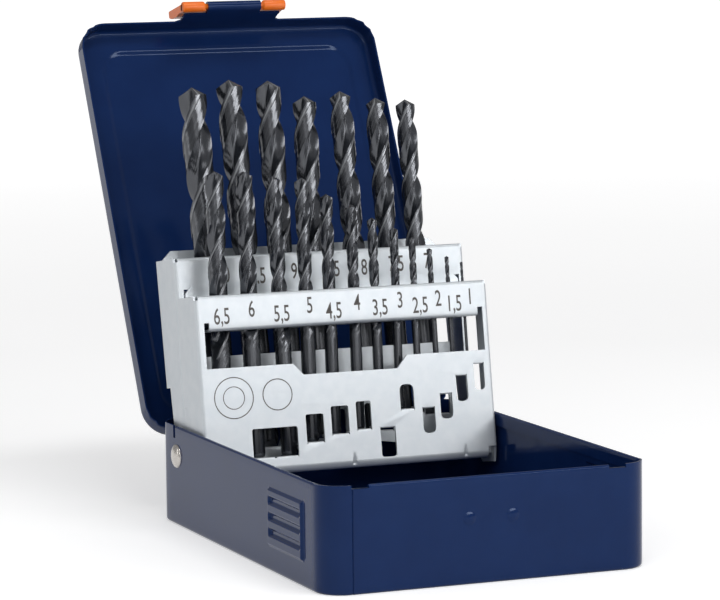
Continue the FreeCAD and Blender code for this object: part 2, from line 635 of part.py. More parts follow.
def rivet_holes(body):
    sketch = make_sketch(body, "YZ", WALL + "+rack_sheet")
    add_circle(sketch, "0", "0", "rivet_radius+pivot_gap")
    pocket(body, sketch, "base_width")


def long_window(sill, label, top, steps, slot=None):
    """Outline of a long window with a relief slit at each end of the label's bend."""
    left, right = "-(%s-window_edge)" % WALL, "(%s-window_edge_right)" % WALL
    head = "(%s-%s)" % (top, label)
    corner = slot or [(right, sill)]
    outline = [(left, sill)] + steps + corner + [
        (right, head + "+relief_rise"), (right + "-relief_width", head + "+relief_rise"),
        (right + "-relief_width", head), (left + "+relief_width", head),
        (left + "+relief_width", head + "+relief_rise"), (left, head + "+relief_rise")]
    return outline


# Two neighbours share the first window; every other drill has its own: first, last, tab
WINDOW_SPANS = [("6", "5_5", "below")] + [(window[0], window[0], window[4]) for window in FRONT_WINDOWS[2:]]


def make_rack_front():
    body = make_body("rack_front", RACK_PLACE)
    dip = "(window_sill-window_dip)"
    steps = [("dip_left-dip_slope/2", "window_sill"), ("dip_left+dip_slope/2", dip),
             ("dip_right-dip_slope/2", dip), ("dip_right+dip_slope/2", "window_sill")]
    holes = [long_window("window_sill", "front_label", "front_top", steps)]
    for first, last, side in WINDOW_SPANS:
        seat, height = "drill_%s_seat" % first, "window_%s_height" % first
        left = "(window_%s_centre-window_%s_width/2)" % (first, first)
        right = "(window_%s_centre+window_%s_width/2)" % (last, last)
        low = seat if side == "below" else "(%s-rack_sheet-%s)" % (seat, height)
        high = "(%s+%s)" % (low, height)
        holes.append([(left, low), (right, low), (right, high), (left, high)])
    foot_left = "(%s-foot_corner)" % WALL
    outline = [("-" + foot_left, "-front_drop"), (foot_left, "-front_drop"),
               (foot_left, "-foot_corner_rise"), (WALL, "-foot_corner_rise"), (WALL, "front_top"),
               ("-" + WALL, "front_top"), ("-" + WALL, "-foot_corner_rise"),
               ("-" + foot_left, "-foot_corner_rise")]
    plate(body, "XZ", "front_reach-rack_sheet", "rack_sheet", outline, holes)

    joint = "-(rear_reach+section_gap)"
    lapped = "-(overlap_reach+section_gap)"
    lower = [(lapped, "-ear_radius"), ("-(overlap_reach+cheek_bevel)", "-cheek_drop"),
             ("-front_reach+cheek_corner", "-cheek_drop"), ("-front_reach", "-foot_corner_rise-rack_sheet/2")]
    plate(body, "YZ", "-" + WALL, "rack_sheet",
          lower + [("-front_reach", "front_top"), (joint, "front_top"),
                   (joint, "overlap_height+section_gap"), (lapped, "overlap_height+section_gap")])
    plate(body, "YZ", WALL + "-rack_sheet", "rack_sheet",
          lower + [("-front_reach", "front_top"), ("-front_reach+flange_depth", "front_top"),
                   ("-front_reach+flange_depth", "overlap_height-cheek_bevel"),
                   (lapped, "overlap_height-2*cheek_bevel")])
    web = [("-front_reach+ear_root", "-ear_radius"), ("0", "-ear_radius"), ("0", "ear_radius"),
           ("-overlap_reach", "ear_web_top"), ("-front_reach+ear_root", "ear_web_top")]
    ear(body, "-%s+rack_sheet" % WALL, web)
    ear(body, WALL + "-2*rack_sheet", web)
    rivet_holes(body)

    half_shelf = "(%s-rack_sheet/2)" % WALL
    hole_row(body, FRONT_DRILLS, "-front_row", "front_top-rack_sheet", "-" + half_shelf, half_shelf,
             "-front_reach+rack_sheet/2", joint, "hole_gap")
    guide = "(front_top-front_label)"
    label_left = "-(%s-window_edge-relief_width)" % WALL
    label_right = "(%s-window_edge_right-relief_width)" % WALL
    hole_row(body, FRONT_DRILLS, "-front_row", guide, label_left, label_right,
             "-front_reach+rack_sheet/2", "-front_reach+guide_depth", "hole_gap")
    half_lip = "(%s-lip_end)" % WALL
    half_crest = "(%s-lip_end-front_lip/2)" % WALL
    plate(body, "XZ", "rear_reach+section_gap", "rack_sheet",
          [("-" + half_lip, "front_top-rack_sheet"), (half_lip, "front_top-rack_sheet"),
           (half_lip, "front_top+front_lip/2"), (half_crest, "front_top+front_lip"),
           ("-" + half_crest, "front_top+front_lip"), ("-" + half_lip, "front_top+front_lip/2")])
    plate(body, "XY", "-front_drop", "rack_sheet",
          [("-" + foot_left, "-front_reach+rack_sheet/2"), (foot_left, "-front_reach+rack_sheet/2"),
           (foot_left, "-front_row+foot_behind"), ("-" + foot_left, "-front_row+foot_behind")])
    for name, *numbers in FRONT_WINDOWS:
        window = "window_" + name
        seat_tab(body, "%s_centre-%s_width/2+tab_side_gap" % (window, window),
                 window + "_width-2*tab_side_gap", "-front_reach+rack_sheet/2", "tab_depth",
                 "drill_%s_seat" % name)
    doc.recompute()
    face, top, foot = -value_of("front_reach"), value_of("front_top"), -value_of("front_drop")
    sheet_size = value_of("rack_sheet")
    cheek_face = value_of("base_width") / 2 - value_of("base_sheet") - value_of("cheek_gap")
    bent = bend(body, body.Tip, "foot_bend_radius", along_x(face, foot),
                along_x(face + sheet_size, foot + sheet_size))
    bent = fillet(body, bent, "bend_radius", along_x(face, top))
    for side in (-1, 1):
        bent = fillet(body, bent, "bend_radius", along_z(side * cheek_face, face))
    doc.recompute()
    return body


def make_rack_rear():
    body = make_body("rack_rear", RACK_PLACE)
    slot_right = "(%s-window_edge_right)" % WALL
    slot = [(slot_right + "-slot_width", "rear_sill"), (slot_right + "-slot_width", "slot_foot"),
            (slot_right, "slot_foot")]
    holes = [long_window("rear_sill", "rear_label", "rear_top", [], slot)]
    tabbed = [d for d in REAR_DRILLS if d[0] != "10"]
    for drill in tabbed:
        tag = "drill_" + drill[0]
        half = "(%s_diameter/2+rear_window_margin)" % tag
        left, right = "(%s_place-%s)" % (tag, half), "(%s_place+%s)" % (tag, half)
        low, high = tag + "_seat", "(%s_seat+rear_window_height)" % tag
        holes.append([(left, low), (right, low), (right, high), (left, high)])
    inner = "(%s-2*rack_sheet-ear_clearance)" % WALL
    notch_top = "(ear_web_top+ear_clearance)"
    plate(body, "XZ", "rear_reach-rack_sheet", "rack_sheet",
          [("-" + inner, "-foot_drop"), ("foot_edge", "-foot_drop"), ("foot_edge", "-rear_drop"),
           (inner, "-rear_drop"), (inner, notch_top), (WALL, notch_top), (WALL, "rear_top"),
           ("-" + WALL, "rear_top"), ("-" + WALL, notch_top), ("-" + inner, notch_top)], holes)
    cheek = [("-rear_reach", "rear_top"), ("lip_reach", "rear_top"), ("lip_reach-cheek_taper", "cheek_foot"),
             ("cheek_waist", "cheek_foot"), ("ear_radius", "ear_web_top"), ("ear_radius", "0"),
             ("ear_radius/2", "-ear_radius"), ("-overlap_reach", "-front_drop"),
             ("-overlap_reach", "overlap_height"), ("-rear_reach", "overlap_height")]
    for start in ("-" + WALL, WALL + "-rack_sheet"):
        plate(body, "YZ", start, "rack_sheet", cheek)
    rivet_holes(body)
    half_shelf = "(%s-rack_sheet/2)" % WALL
    hole_row(body, REAR_DRILLS, "rear_row", "rear_top-rack_sheet", "-" + half_shelf, half_shelf,
             "-rear_reach+rack_sheet/2", "lip_reach", "rear_hole_gap")
    label_left = "-(%s-window_edge-relief_width)" % WALL
    label_right = "(%s-window_edge_right-relief_width)" % WALL
    hole_row(body, REAR_DRILLS, "rear_row", "rear_top-rear_label", label_left, label_right,
             "-rear_reach+rack_sheet/2", "-rear_reach+rear_guide_depth", "rear_hole_gap")
    half_lip = "(%s-lip_end/2)" % WALL
    plate(body, "XZ", "-lip_reach", "rack_sheet",
          [("-" + half_lip, "rear_top-rack_sheet"), (half_lip, "rear_top-rack_sheet"),
           (half_lip + "-rear_lip", "rear_top+rear_lip"), ("-%s+rear_lip" % half_lip, "rear_top+rear_lip")])
    plate(body, "XY", "-foot_drop", "rack_sheet",
          [("-" + inner, "-rear_reach+rack_sheet/2"), ("foot_edge", "-rear_reach+rack_sheet/2"),
           ("foot_edge", "rear_row+rear_foot_behind"), ("-" + inner, "rear_row+rear_foot_behind")])
    for drill in tabbed:
        tag = "drill_" + drill[0]
        half = "(%s_diameter/2+rear_window_margin-tab_side_gap)" % tag
        seat_tab(body, "%s_place-%s" % (tag, half), "2*" + half, "-rear_reach+rack_sheet/2",
                 "rear_tab_depth", tag + "_seat")
    doc.recompute()
    face, top, foot = -value_of("rear_reach"), value_of("rear_top"), -value_of("foot_drop")
    sheet_size = value_of("rack_sheet")
    bent = bend(body, body.Tip, "bend_radius", along_x(face, foot),
                along_x(face + sheet_size, foot + sheet_size))
    fillet(body, bent, "bend_radius", along_x(face, top))
    doc.recompute()
    return body


# ---------------------------------------------------------------- pivots
def make_rivet(label, side):
    """Domed rivet along X: head outside the tray, tail upset inside the rack's ear."""
    turn = "rotation(vector(0;1;0);%d)" % (90 if side > 0 else -90)
    body = make_body(label, "placement(vector(%d*(base_width/2);%s;pivot_height);%s)" % (side, PIVOT_Y, turn))
    tail = "(-(base_width/2-%s+2*rack_sheet+stack_gap))" % WALL
    tail_end = tail + "-rivet_tail_height"
    turned = revolve(body, [("0", tail_end), ("rivet_tail_radius", tail_end), ("rivet_tail_radius", tail),
                            ("rivet_radius", tail), ("rivet_radius", "0"), ("rivet_head_radius", "0"),
                            ("rivet_head_radius", "rivet_head_height"), ("0", "rivet_head_height")])
    fillet(body, turned, "rivet_head_height*0.9", in_plane("Z", value_of("rivet_head_height")))
    return body


def make_washer(label, side):
    turn = "rotation(vector(0;1;0);%d)" % (90 if side > 0 else -90)
    wall = "(base_width/2-base_sheet)"
    body = make_body(label, "placement(vector(%d*%s;%s;pivot_height);%s)" % (side, wall, PIVOT_Y, turn))
    depth = "-(%s-%s-stack_gap)" % (wall, WALL)
    revolve(body, [("rivet_radius", depth), ("washer_radius", depth), ("washer_radius", "0"),
                   ("rivet_radius", "0")])
    return body


# ---------------------------------------------------------------- drills
def make_drill(drill, row_y, guide):
    """Twist drill standing on its seat, leaning a little in its holes."""
    tag = "drill_" + drill[0]
    above = "(%s-%s_seat-seat_gap)" % (guide, tag)
    leaning = "placement(vector(%s_place;%s;%s);rotation(vector(0;1;0);%s_lean))" % (tag, row_y, guide, tag)
    lowered = "placement(vector(0;0;-%s);rotation(vector(0;0;1);%s_turn))" % (above, tag)
    body = make_body(tag, "%s*%s*%s" % (RACK_PLACE, leaning, lowered))
    diameter, radius, length = tag + "_diameter", "(%s_diameter/2)" % tag, tag + "_length"
    point = "(%s/tan(point_angle/2))" % radius
    revolve(body, [("0", "0"), (radius + "*0.8", "0"), (radius, radius + "*0.2"),
                   (radius, "%s-%s" % (length, point)), ("0", length)])
    cutter = make_sketch(body, "XZ", "0")
    wide = value_of(diameter)
    start = (value_of("flute_centre") * wide, value_of(length) - value_of(tag + "_flute") + wide / 2,
             value_of("flute_round") * wide, value_of("flute_chord") * wide)
    add_bite(cutter, "flute_centre*" + diameter, "%s-%s_flute+%s" % (length, tag, radius),
             "flute_round*" + diameter, "flute_chord*" + diameter, start)
    flute = body.newObject("PartDesign::SubtractiveHelix", fresh("flute"))
    flute.Profile = cutter
    flute.ReferenceAxis = (cutter, ["V_Axis"])
    bind(flute, "Pitch", "pi*%s/tan(helix_angle)" % diameter)
    bind(flute, "Height", "%s_flute+%s" % (tag, radius))
    pair = body.newObject("PartDesign::PolarPattern", fresh("flutes"))
    pair.Originals = [flute]
    pair.Axis = (cutter, ["V_Axis"])
    pair.Occurrences = 2
    body.Tip = pair
    return body


parts = [make_base_tray(), make_lid_shell(), make_hinge_pin(), make_latch(), make_rack_front(),
         make_rack_rear(), make_rivet("pivot_rivet_left", -1), make_rivet("pivot_rivet_right", 1),
         make_washer("pivot_washer_left", -1), make_washer("pivot_washer_right", 1)]
for drill in FRONT_DRILLS:
    parts.append(make_drill(drill, "-front_row", "(front_top-front_label/2)"))
for drill in REAR_DRILLS:
    parts.append(make_drill(drill, "rear_row", "(rear_top-rear_label/2)"))
doc.recompute()

# ---------------------------------------------------------------- check and write
for thing in doc.Objects:
    if "Invalid" in thing.State or "Error" in thing.State:
        raise RuntimeError("%s (%s) failed: %s" % (thing.Name, thing.Label, thing.State))
for part in parts:
    if part.Shape.isNull() or not part.Shape.isValid():
        raise RuntimeError("%s has no valid shape" % part.Label)
os.makedirs("parts", exist_ok=True)
for part in parts:
    part.Shape.exportStep("parts/%s.step" % part.Label)
    box = part.Shape.BoundBox
    print("%-20s solids %d  volume %9.1f  x %.1f..%.1f  y %.1f..%.1f  z %.1f..%.1f" % (
        part.Label, len(part.Shape.Solids), part.Shape.Volume, box.XMin, box.XMax, box.YMin, box.YMax,
        box.ZMin, box.ZMax))
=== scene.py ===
import json
import math
from collections import namedtuple

import bmesh
import bpy
import numpy as np
from mathutils import Matrix, Vector


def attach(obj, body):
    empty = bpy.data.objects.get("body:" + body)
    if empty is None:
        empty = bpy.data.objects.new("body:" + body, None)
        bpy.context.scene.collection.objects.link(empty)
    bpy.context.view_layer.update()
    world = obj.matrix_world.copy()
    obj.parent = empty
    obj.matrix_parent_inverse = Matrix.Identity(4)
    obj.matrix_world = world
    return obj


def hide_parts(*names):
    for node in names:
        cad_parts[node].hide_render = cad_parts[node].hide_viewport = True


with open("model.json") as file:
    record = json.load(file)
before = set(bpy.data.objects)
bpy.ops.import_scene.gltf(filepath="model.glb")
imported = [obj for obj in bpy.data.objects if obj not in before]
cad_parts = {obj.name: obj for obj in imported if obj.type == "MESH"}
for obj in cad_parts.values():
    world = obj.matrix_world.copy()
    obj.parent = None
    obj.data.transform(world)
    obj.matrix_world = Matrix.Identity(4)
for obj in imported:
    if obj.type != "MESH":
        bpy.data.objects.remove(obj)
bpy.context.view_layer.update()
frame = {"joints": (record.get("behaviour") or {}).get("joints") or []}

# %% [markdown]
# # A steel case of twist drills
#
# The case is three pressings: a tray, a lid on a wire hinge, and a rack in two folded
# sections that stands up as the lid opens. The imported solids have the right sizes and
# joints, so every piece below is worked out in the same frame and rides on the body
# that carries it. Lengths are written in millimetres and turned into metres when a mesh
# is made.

MM = 0.001
JOINTS = {joint["name"]: joint for joint in frame["joints"]}


def joint_place(name):
    """The joint's point in millimetres, in the case's frame."""
    return np.array(JOINTS[name]["pos_m"]) / MM


HINGE = joint_place("lid_hinge")
PIVOT = joint_place("rack_pivot")
ROLL = joint_place("latch_pivot")
LID_SWING = JOINTS["lid_hinge"]["range_deg"][1]
RACK_SWING = JOINTS["rack_pivot"]["range_deg"][1]
LATCH_SWING = JOINTS["latch_pivot"]["range_deg"][1]
RACK_LEAN = RACK_SWING - 90.0


def turn_x(points, degrees):
    """Points turned about the X axis: y' = y cos a - z sin a, z' = y sin a + z cos a."""
    a = math.radians(degrees)
    x, y, z = np.moveaxis(np.asarray(points, float), -1, 0)
    return np.stack([x, y * math.cos(a) - z * math.sin(a), y * math.sin(a) + z * math.cos(a)], -1)


def on_lid(points):
    """From the shut lid's frame, with its origin on the hinge wire, to the open case."""
    return turn_x(points, -LID_SWING) + HINGE


def on_rack(points):
    """From the upright rack's frame, with its origin on the pivot, to the leaning rack."""
    return turn_x(points, -RACK_LEAN) + PIVOT


def on_latch(points):
    """From the shut latch's frame, lever down, to the latch flipped back on the open lid."""
    return turn_x(points, -LID_SWING - LATCH_SWING) + ROLL


print("hinge", HINGE, "pivot", PIVOT, "latch", ROLL)

# %% [markdown]
# ## From arrays to meshes
#
# A sheet-metal surface is easy to describe as a function of two parameters, such as a
# station along a wall and a step round a folded profile. It could also be pulled out of
# primitives with modifiers, but then its sizes are spread over many settings. Here a
# helper takes a grid of points and joins neighbours with four-sided faces, so that every
# size stays a number in the code. Edges above a set angle are marked, and stay sharp.

# %% Objects and pieces
SHARP_FOLD = math.radians(32)                   # a sharper edge than this stays a crease
DOUBLED = 1e-7                                  # metres between points that are one


def new_object(name, data):
    """An object in the scene, at the origin."""
    thing = bpy.data.objects.new(name, data)
    bpy.context.scene.collection.objects.link(thing)
    return thing


def clean_mesh(mesh):
    """Merges doubled points and turns every face outwards."""
    work = bmesh.new()
    work.from_mesh(mesh)
    bmesh.ops.remove_doubles(work, verts=work.verts, dist=DOUBLED)
    bmesh.ops.dissolve_degenerate(work, edges=work.edges, dist=DOUBLED)
    bmesh.ops.recalc_face_normals(work, faces=work.faces)
    work.to_mesh(mesh)
    work.free()


def mesh_piece(name, points, faces, material, body, smooth=True, marks=None):
    """A mesh from points in millimetres and faces by index, riding on one body.

    marks gives each point a number, or a place in a pattern that follows the surface.
    """
    mesh = bpy.data.meshes.new(name)
    mesh.from_pydata((np.asarray(points, float) * MM).tolist(), [], faces)
    for mark, values in (marks or {}).items():
        kind, key = ("FLOAT_VECTOR", "vector") if values.ndim > 2 else ("FLOAT", "value")
        mesh.attributes.new(mark, kind, "POINT").data.foreach_set(key, np.ravel(values))
    clean_mesh(mesh)
    if smooth:
        mesh.shade_smooth()
        mesh.set_sharp_from_angle(angle=SHARP_FOLD)
    mesh.materials.append(material)
    piece = new_object(name, mesh)
    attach(piece, body)
    return piece


def curve_mesh(name, curve):
    """The mesh of a filled curve or of a text."""
    holder = new_object(name, curve)
    mesh = bpy.data.meshes.new_from_object(holder.evaluated_get(bpy.context.evaluated_depsgraph_get()))
    bpy.data.objects.remove(holder)
    return mesh

# %% Grids, tubes and turned profiles
def grid_faces(rows, columns, wrap_rows=False, wrap_columns=False):
    """Index quads of a rows x columns grid, joined round where a direction is closed."""
    r = np.arange(rows if wrap_rows else rows - 1)
    c = np.arange(columns if wrap_columns else columns - 1)
    r, c = np.meshgrid(r, c, indexing="ij")
    r2, c2 = (r + 1) % rows, (c + 1) % columns
    quads = np.stack([r * columns + c, r2 * columns + c, r2 * columns + c2, r * columns + c2], -1)
    return quads.reshape(-1, 4).tolist()


def closed_tube(grid, wrap_rows=True):
    """Points and faces of a tube: rows run round or along it, columns close each section.

    Where the rows do not join up, the first and last sections are capped.
    """
    rows, columns = grid.shape[:2]
    faces = grid_faces(rows, columns, wrap_rows, True)
    if not wrap_rows:
        faces.append(list(range(columns)))
        faces.append(list(range((rows - 1) * columns, rows * columns)))
    return grid.reshape(-1, 3), faces


def closed_skin(grid):
    """Points and faces of a skin whose rows run round, filled in at its first and last columns."""
    rows, columns = grid.shape[:2]
    faces = grid_faces(rows, columns, True, False)
    faces += [[row * columns + end for row in range(rows)] for end in (0, columns - 1)]
    return grid.reshape(-1, 3), faces


def lathe(profile, steps):
    """A profile of (radius, height) pairs turned about Z, as (points, faces)."""
    angle = np.linspace(0, 2 * math.pi, steps, endpoint=False)
    radius, height = np.asarray(profile, float).T
    grid = np.stack([np.outer(np.cos(angle), radius), np.outer(np.sin(angle), radius),
                     np.tile(height, (steps, 1))], -1)
    return grid.reshape(-1, 3), grid_faces(steps, len(profile), True, False)


def side_lathe(profile, steps, side=1):
    """A profile turned about X, on the right or (side -1) mirrored to the left."""
    points, faces = lathe(profile, steps)
    return points[:, [2, 0, 1]] * (side, 1, 1), faces


def arc(centre, radius, start, end, steps):
    """Points on an arc in a plane, angles in degrees."""
    a = np.radians(np.linspace(start, end, steps))
    return np.stack([centre[0] + radius * np.cos(a), centre[1] + radius * np.sin(a)], -1)


def smooth_step(value, low, high):
    """0 below low, 1 above high, and an even S-curve between them."""
    share = np.clip((value - low) / (high - low), 0, 1)
    return share * share * (3 - 2 * share)

# %% [markdown]
# ## Finishes
#
# The case has stoved enamel, zinc plate, black oxide, moulded plastic and nickel. They
# could be image textures, but those blur from close by and need an unwrapped surface, so
# each is a Principled surface with a little procedural unevenness. Enamel has a faint
# orange peel and a soft gloss, and zinc plate a fine cloudy roughness. The drills' black
# oxide is streaked along the flutes, as grinding leaves it, and its narrow margins are
# painted lighter: a painted highlight for the bright line that light draws along them.

# %% Material helpers
def feed(tree, socket, value):
    """Links another node's output to a socket, or writes a constant into it."""
    if isinstance(value, bpy.types.NodeSocket):
        tree.links.new(value, socket)
    else:
        socket.default_value = value


def add_node(tree, kind, inputs, **settings):
    """A shader node with its properties set and its inputs fed."""
    node = tree.nodes.new("ShaderNode" + kind)
    for setting, value in settings.items():
        setattr(node, setting, value)
    for socket, value in inputs.items():
        feed(tree, node.inputs[socket], value)
    return node


def new_finish(name):
    finish = bpy.data.materials.new(name)
    finish.use_nodes = True
    tree = finish.node_tree
    return finish, tree, tree.nodes["Principled BSDF"]


def object_place(tree):
    return add_node(tree, "TexCoord", {}).outputs["Object"]


def mark_of(tree, name):
    """The node that reads a mark which mesh_piece gave to each point."""
    return add_node(tree, "Attribute", {}, attribute_name=name)


def noise(tree, scale, detail=3.0, place=None):
    """A noise pattern at a place, by default in cycles per metre on object coordinates."""
    inputs = {"Vector": place or object_place(tree), "Scale": scale, "Detail": detail}
    return add_node(tree, "TexNoise", inputs).outputs["Fac"]


def ramp(tree, source, low, high):
    """Blends between two colours as a noise passes through its middle values."""
    node = add_node(tree, "ValToRGB", {"Fac": source})
    for element, place, colour in zip(node.color_ramp.elements, (0.35, 0.65), (low, high)):
        element.position = place
        element.color = (*colour, 1)
    return node.outputs["Color"]


def value_range(tree, source, low, high, start=0.3, end=0.7):
    """low to high as the source goes from start to end."""
    inputs = {"Value": source, "From Min": start, "From Max": end, "To Min": low, "To Max": high}
    return add_node(tree, "MapRange", inputs).outputs["Result"]


def bump(tree, source, strength, distance):
    inputs = {"Height": source, "Strength": strength, "Distance": distance}
    return add_node(tree, "Bump", inputs).outputs["Normal"]


def coated(name, cloud, tones, gloss=None, peel=None, constants=()):
    """A finish from noises: cloud blends two tones, gloss is the roughness, peel the bump.

    Each noise is (scale, detail) and is followed by the two values that it drives.
    """
    finish, tree, shader = new_finish(name)
    feed(tree, shader.inputs["Base Color"], ramp(tree, noise(tree, *cloud), *tones))
    if gloss:
        feed(tree, shader.inputs["Roughness"], value_range(tree, noise(tree, *gloss[:2]), *gloss[2:]))
    if peel:
        feed(tree, shader.inputs["Normal"], bump(tree, noise(tree, *peel[:2]), *peel[2:]))
    for socket, value in constants:
        shader.inputs[socket].default_value = value
    return finish

# %% The case's finishes
def black_oxide():
    """Blackened tool steel with grinding streaks, and a painted highlight on the drills' margins."""
    finish, tree, shader = new_finish("black_oxide")
    ground = noise(tree, 3.6, 2.0, mark_of(tree, "flow").outputs["Vector"])
    dark = ramp(tree, ground, (0.005, 0.006, 0.008), (0.013, 0.015, 0.020))
    # Painted highlight: the margins get a lighter colour for the bright line that light draws along them.
    painted_margin = {"Factor": mark_of(tree, "margin_highlight_paint").outputs["Fac"], "A": dark, "B": (0.20, 0.205, 0.215, 1)}
    surface = {"Base Color": add_node(tree, "Mix", painted_margin, data_type="RGBA").outputs["Result"],
               "Roughness": value_range(tree, ground, 0.16, 0.27),
               "Normal": bump(tree, ground, 0.35, 0.0004), "IOR": 1.85, "Specular Tint": (0.90, 0.93, 1.0, 1)}
    for socket, value in surface.items():
        feed(tree, shader.inputs[socket], value)
    return finish


NAVY = coated("navy_enamel", (60,), ((0.0052, 0.0185, 0.080), (0.0062, 0.0215, 0.090)),
              (900, 4, 0.08, 0.12), (1500, 2, 0.05, 0.0002),
              (("Specular IOR Level", 0.20), ("Specular Tint", (0.62, 0.76, 1.0, 1))))
ZINC = coated("zinc_plate", (260, 3), ((0.58, 0.62, 0.655), (0.615, 0.65, 0.68)), (2500, 3, 0.36, 0.44),
              (5200, 2, 0.12, 0.0001), (("Metallic", 0.45),))
OXIDE = black_oxide()
ORANGE = coated("orange_moulding", (300,), ((0.86, 0.165, 0.010), (0.90, 0.185, 0.014)),
                (1800, 3, 0.30, 0.40), (2400, 2, 0.08, 0.0001))
NICKEL = coated("nickel_plate", (500, 2), ((0.53, 0.50, 0.47), (0.59, 0.56, 0.52)), (900, 2, 0.24, 0.28),
                constants=(("Metallic", 0.9),))
INK = coated("grey_print", (2500, 3), ((0.075, 0.066, 0.062), (0.105, 0.094, 0.088)),
             constants=(("Roughness", 0.6),))
print("finishes made:", len(bpy.data.materials))

# %% [markdown]
# ## The tray
#
# The tray is drawn from one flat blank, so its outside, its rolled rim and its inside
# are one skin. A cube with solidify and bevel modifiers comes close, but has no place
# for the hem, the slits and the ribbed grips. So a profile is carried round a rounded
# rectangle: it climbs the outside wall, goes over the rim and comes down the inside. The
# folded hem is a thicker stretch of the same profile, slits are places where the rim is
# lower, and grips and dimples are heights added to the wall.

# %% Plan outline with stations
TRAY_HALF_X, TRAY_HALF_Y = 55.0, 75.8
TRAY_CORNER = 9.0
CORNER_STEPS = 14


def plan_outline(half_x, half_y, radius, x_stations, y_stations):
    """Points and outward normals round a rounded rectangle, anticlockwise from the right.

    Stations are places on the straight walls; each corner is a quarter circle.
    """
    points, normals = [], []
    quarter = np.radians(np.linspace(0, 90, CORNER_STEPS))

    def wall(xs, ys, nx, ny):
        points.append(np.stack(np.broadcast_arrays(xs, ys), -1))
        normals.append(np.tile([nx, ny], (len(points[-1]), 1)))

    def corner(cx, cy, first):
        angle = quarter[1:-1] + math.radians(first)
        n = np.stack([np.cos(angle), np.sin(angle)], -1)
        points.append(np.array([cx, cy]) + n * radius)
        normals.append(n)

    cx, cy = half_x - radius, half_y - radius
    ys = np.concatenate([[-cy], y_stations, [cy]])
    xs = np.concatenate([[-cx], x_stations, [cx]])
    wall(half_x, ys, 1, 0)
    corner(cx, cy, 0)
    wall(xs[::-1], half_y, 0, 1)
    corner(-cx, cy, 90)
    wall(-half_x, ys[::-1], -1, 0)
    corner(-cx, -cy, 180)
    wall(xs, -half_y, 0, -1)
    corner(cx, -cy, 270)
    return np.concatenate(points), np.concatenate(normals)


print("tray", 2 * TRAY_HALF_X, "by", 2 * TRAY_HALF_Y, "mm")

# %% Grips and dimples as heights above the wall
GRIP_REAR, GRIP_FRONT = -29.3, -59.3
GRIP_LOW, GRIP_HIGH = 8.0, 27.0
GRIP_RAISE = 0.9
GROOVE_TOPS = (24.5, 19.4, 14.4)
GROOVE_TALL = 3.0
GROOVE_INSET = (1.2, 1.4)                       # from the grip's front and rear edges
GRIP_SOFT = 1.1                                 # width of a raised edge's shoulder
DIMPLE_SPOTS = ((-7.25, 20.6), (7.25, 20.6))
DIMPLE_RADIUS, DIMPLE_RAISE = 2.2, 0.48
SEAM_X, SEAM_HALF, SEAM_DEEP = -45.65, 0.28, 0.28
STRAIGHT = 0.99                                 # a normal's share along an axis on a straight wall


def plateau(value, low, high, soft):
    """1 between low and high, 0 outside, with soft shoulders inside the two limits."""
    return smooth_step(value, low, low + soft) * (1 - smooth_step(value, high - soft, high))


def wall_relief(x, y, z, nx, ny):
    """Millimetres that the wall stands proud: grips on both sides, dimples in front."""
    side = np.abs(nx) > STRAIGHT
    panel = plateau(y, GRIP_FRONT, GRIP_REAR, GRIP_SOFT) * plateau(z, GRIP_LOW, GRIP_HIGH, GRIP_SOFT)
    grooves = sum(plateau(z, top - GROOVE_TALL, top, GRIP_SOFT) for top in GROOVE_TOPS)
    grooves = grooves * plateau(y, GRIP_FRONT + GROOVE_INSET[0], GRIP_REAR - GROOVE_INSET[1], GRIP_SOFT)
    relief = np.where(side, GRIP_RAISE * panel * (1 - grooves), 0.0)
    front = ny < -STRAIGHT
    for spot_x, spot_z in DIMPLE_SPOTS:
        far = np.hypot(x - spot_x, z - spot_z)
        dome = np.clip(1 - (far / DIMPLE_RADIUS) ** 2, 0, 1)
        relief = relief + np.where(front, DIMPLE_RAISE * dome, 0.0)
    seam = np.clip(1 - np.abs(x - SEAM_X) / SEAM_HALF, 0, 1)
    return relief - np.where(front, SEAM_DEEP * seam, 0.0)


print("grip", round(GRIP_REAR - GRIP_FRONT, 1), "by", GRIP_HIGH - GRIP_LOW, "mm")

# %% The tray's skin
TRAY_TALL, TRAY_SHEET = 33.6, 0.7
HEM_TALL = 4.5
HEM_FRONT_HALF = 40.2
SLIT_LOW, SLIT_HIGH, SLIT_DEEP = 58.2, 60.2, 4.0
NICK_END, NICK_DEEP = 45.985, 1.0
TINY = 0.004
FINE_STEP = 0.30                                # between the grid's lines across the grips
FOOT_OUTER, FOOT_INNER = 1.2, 0.5               # both radii of the bend round the floor
RIM_ROUND = 0.12                                # how far a plain cut edge is rounded off


def steps_at(*places):
    """Doubled stations, a hair apart, so that a sudden change stays crisp."""
    return np.sort(np.concatenate([[p - TINY, p + TINY] for p in places]))


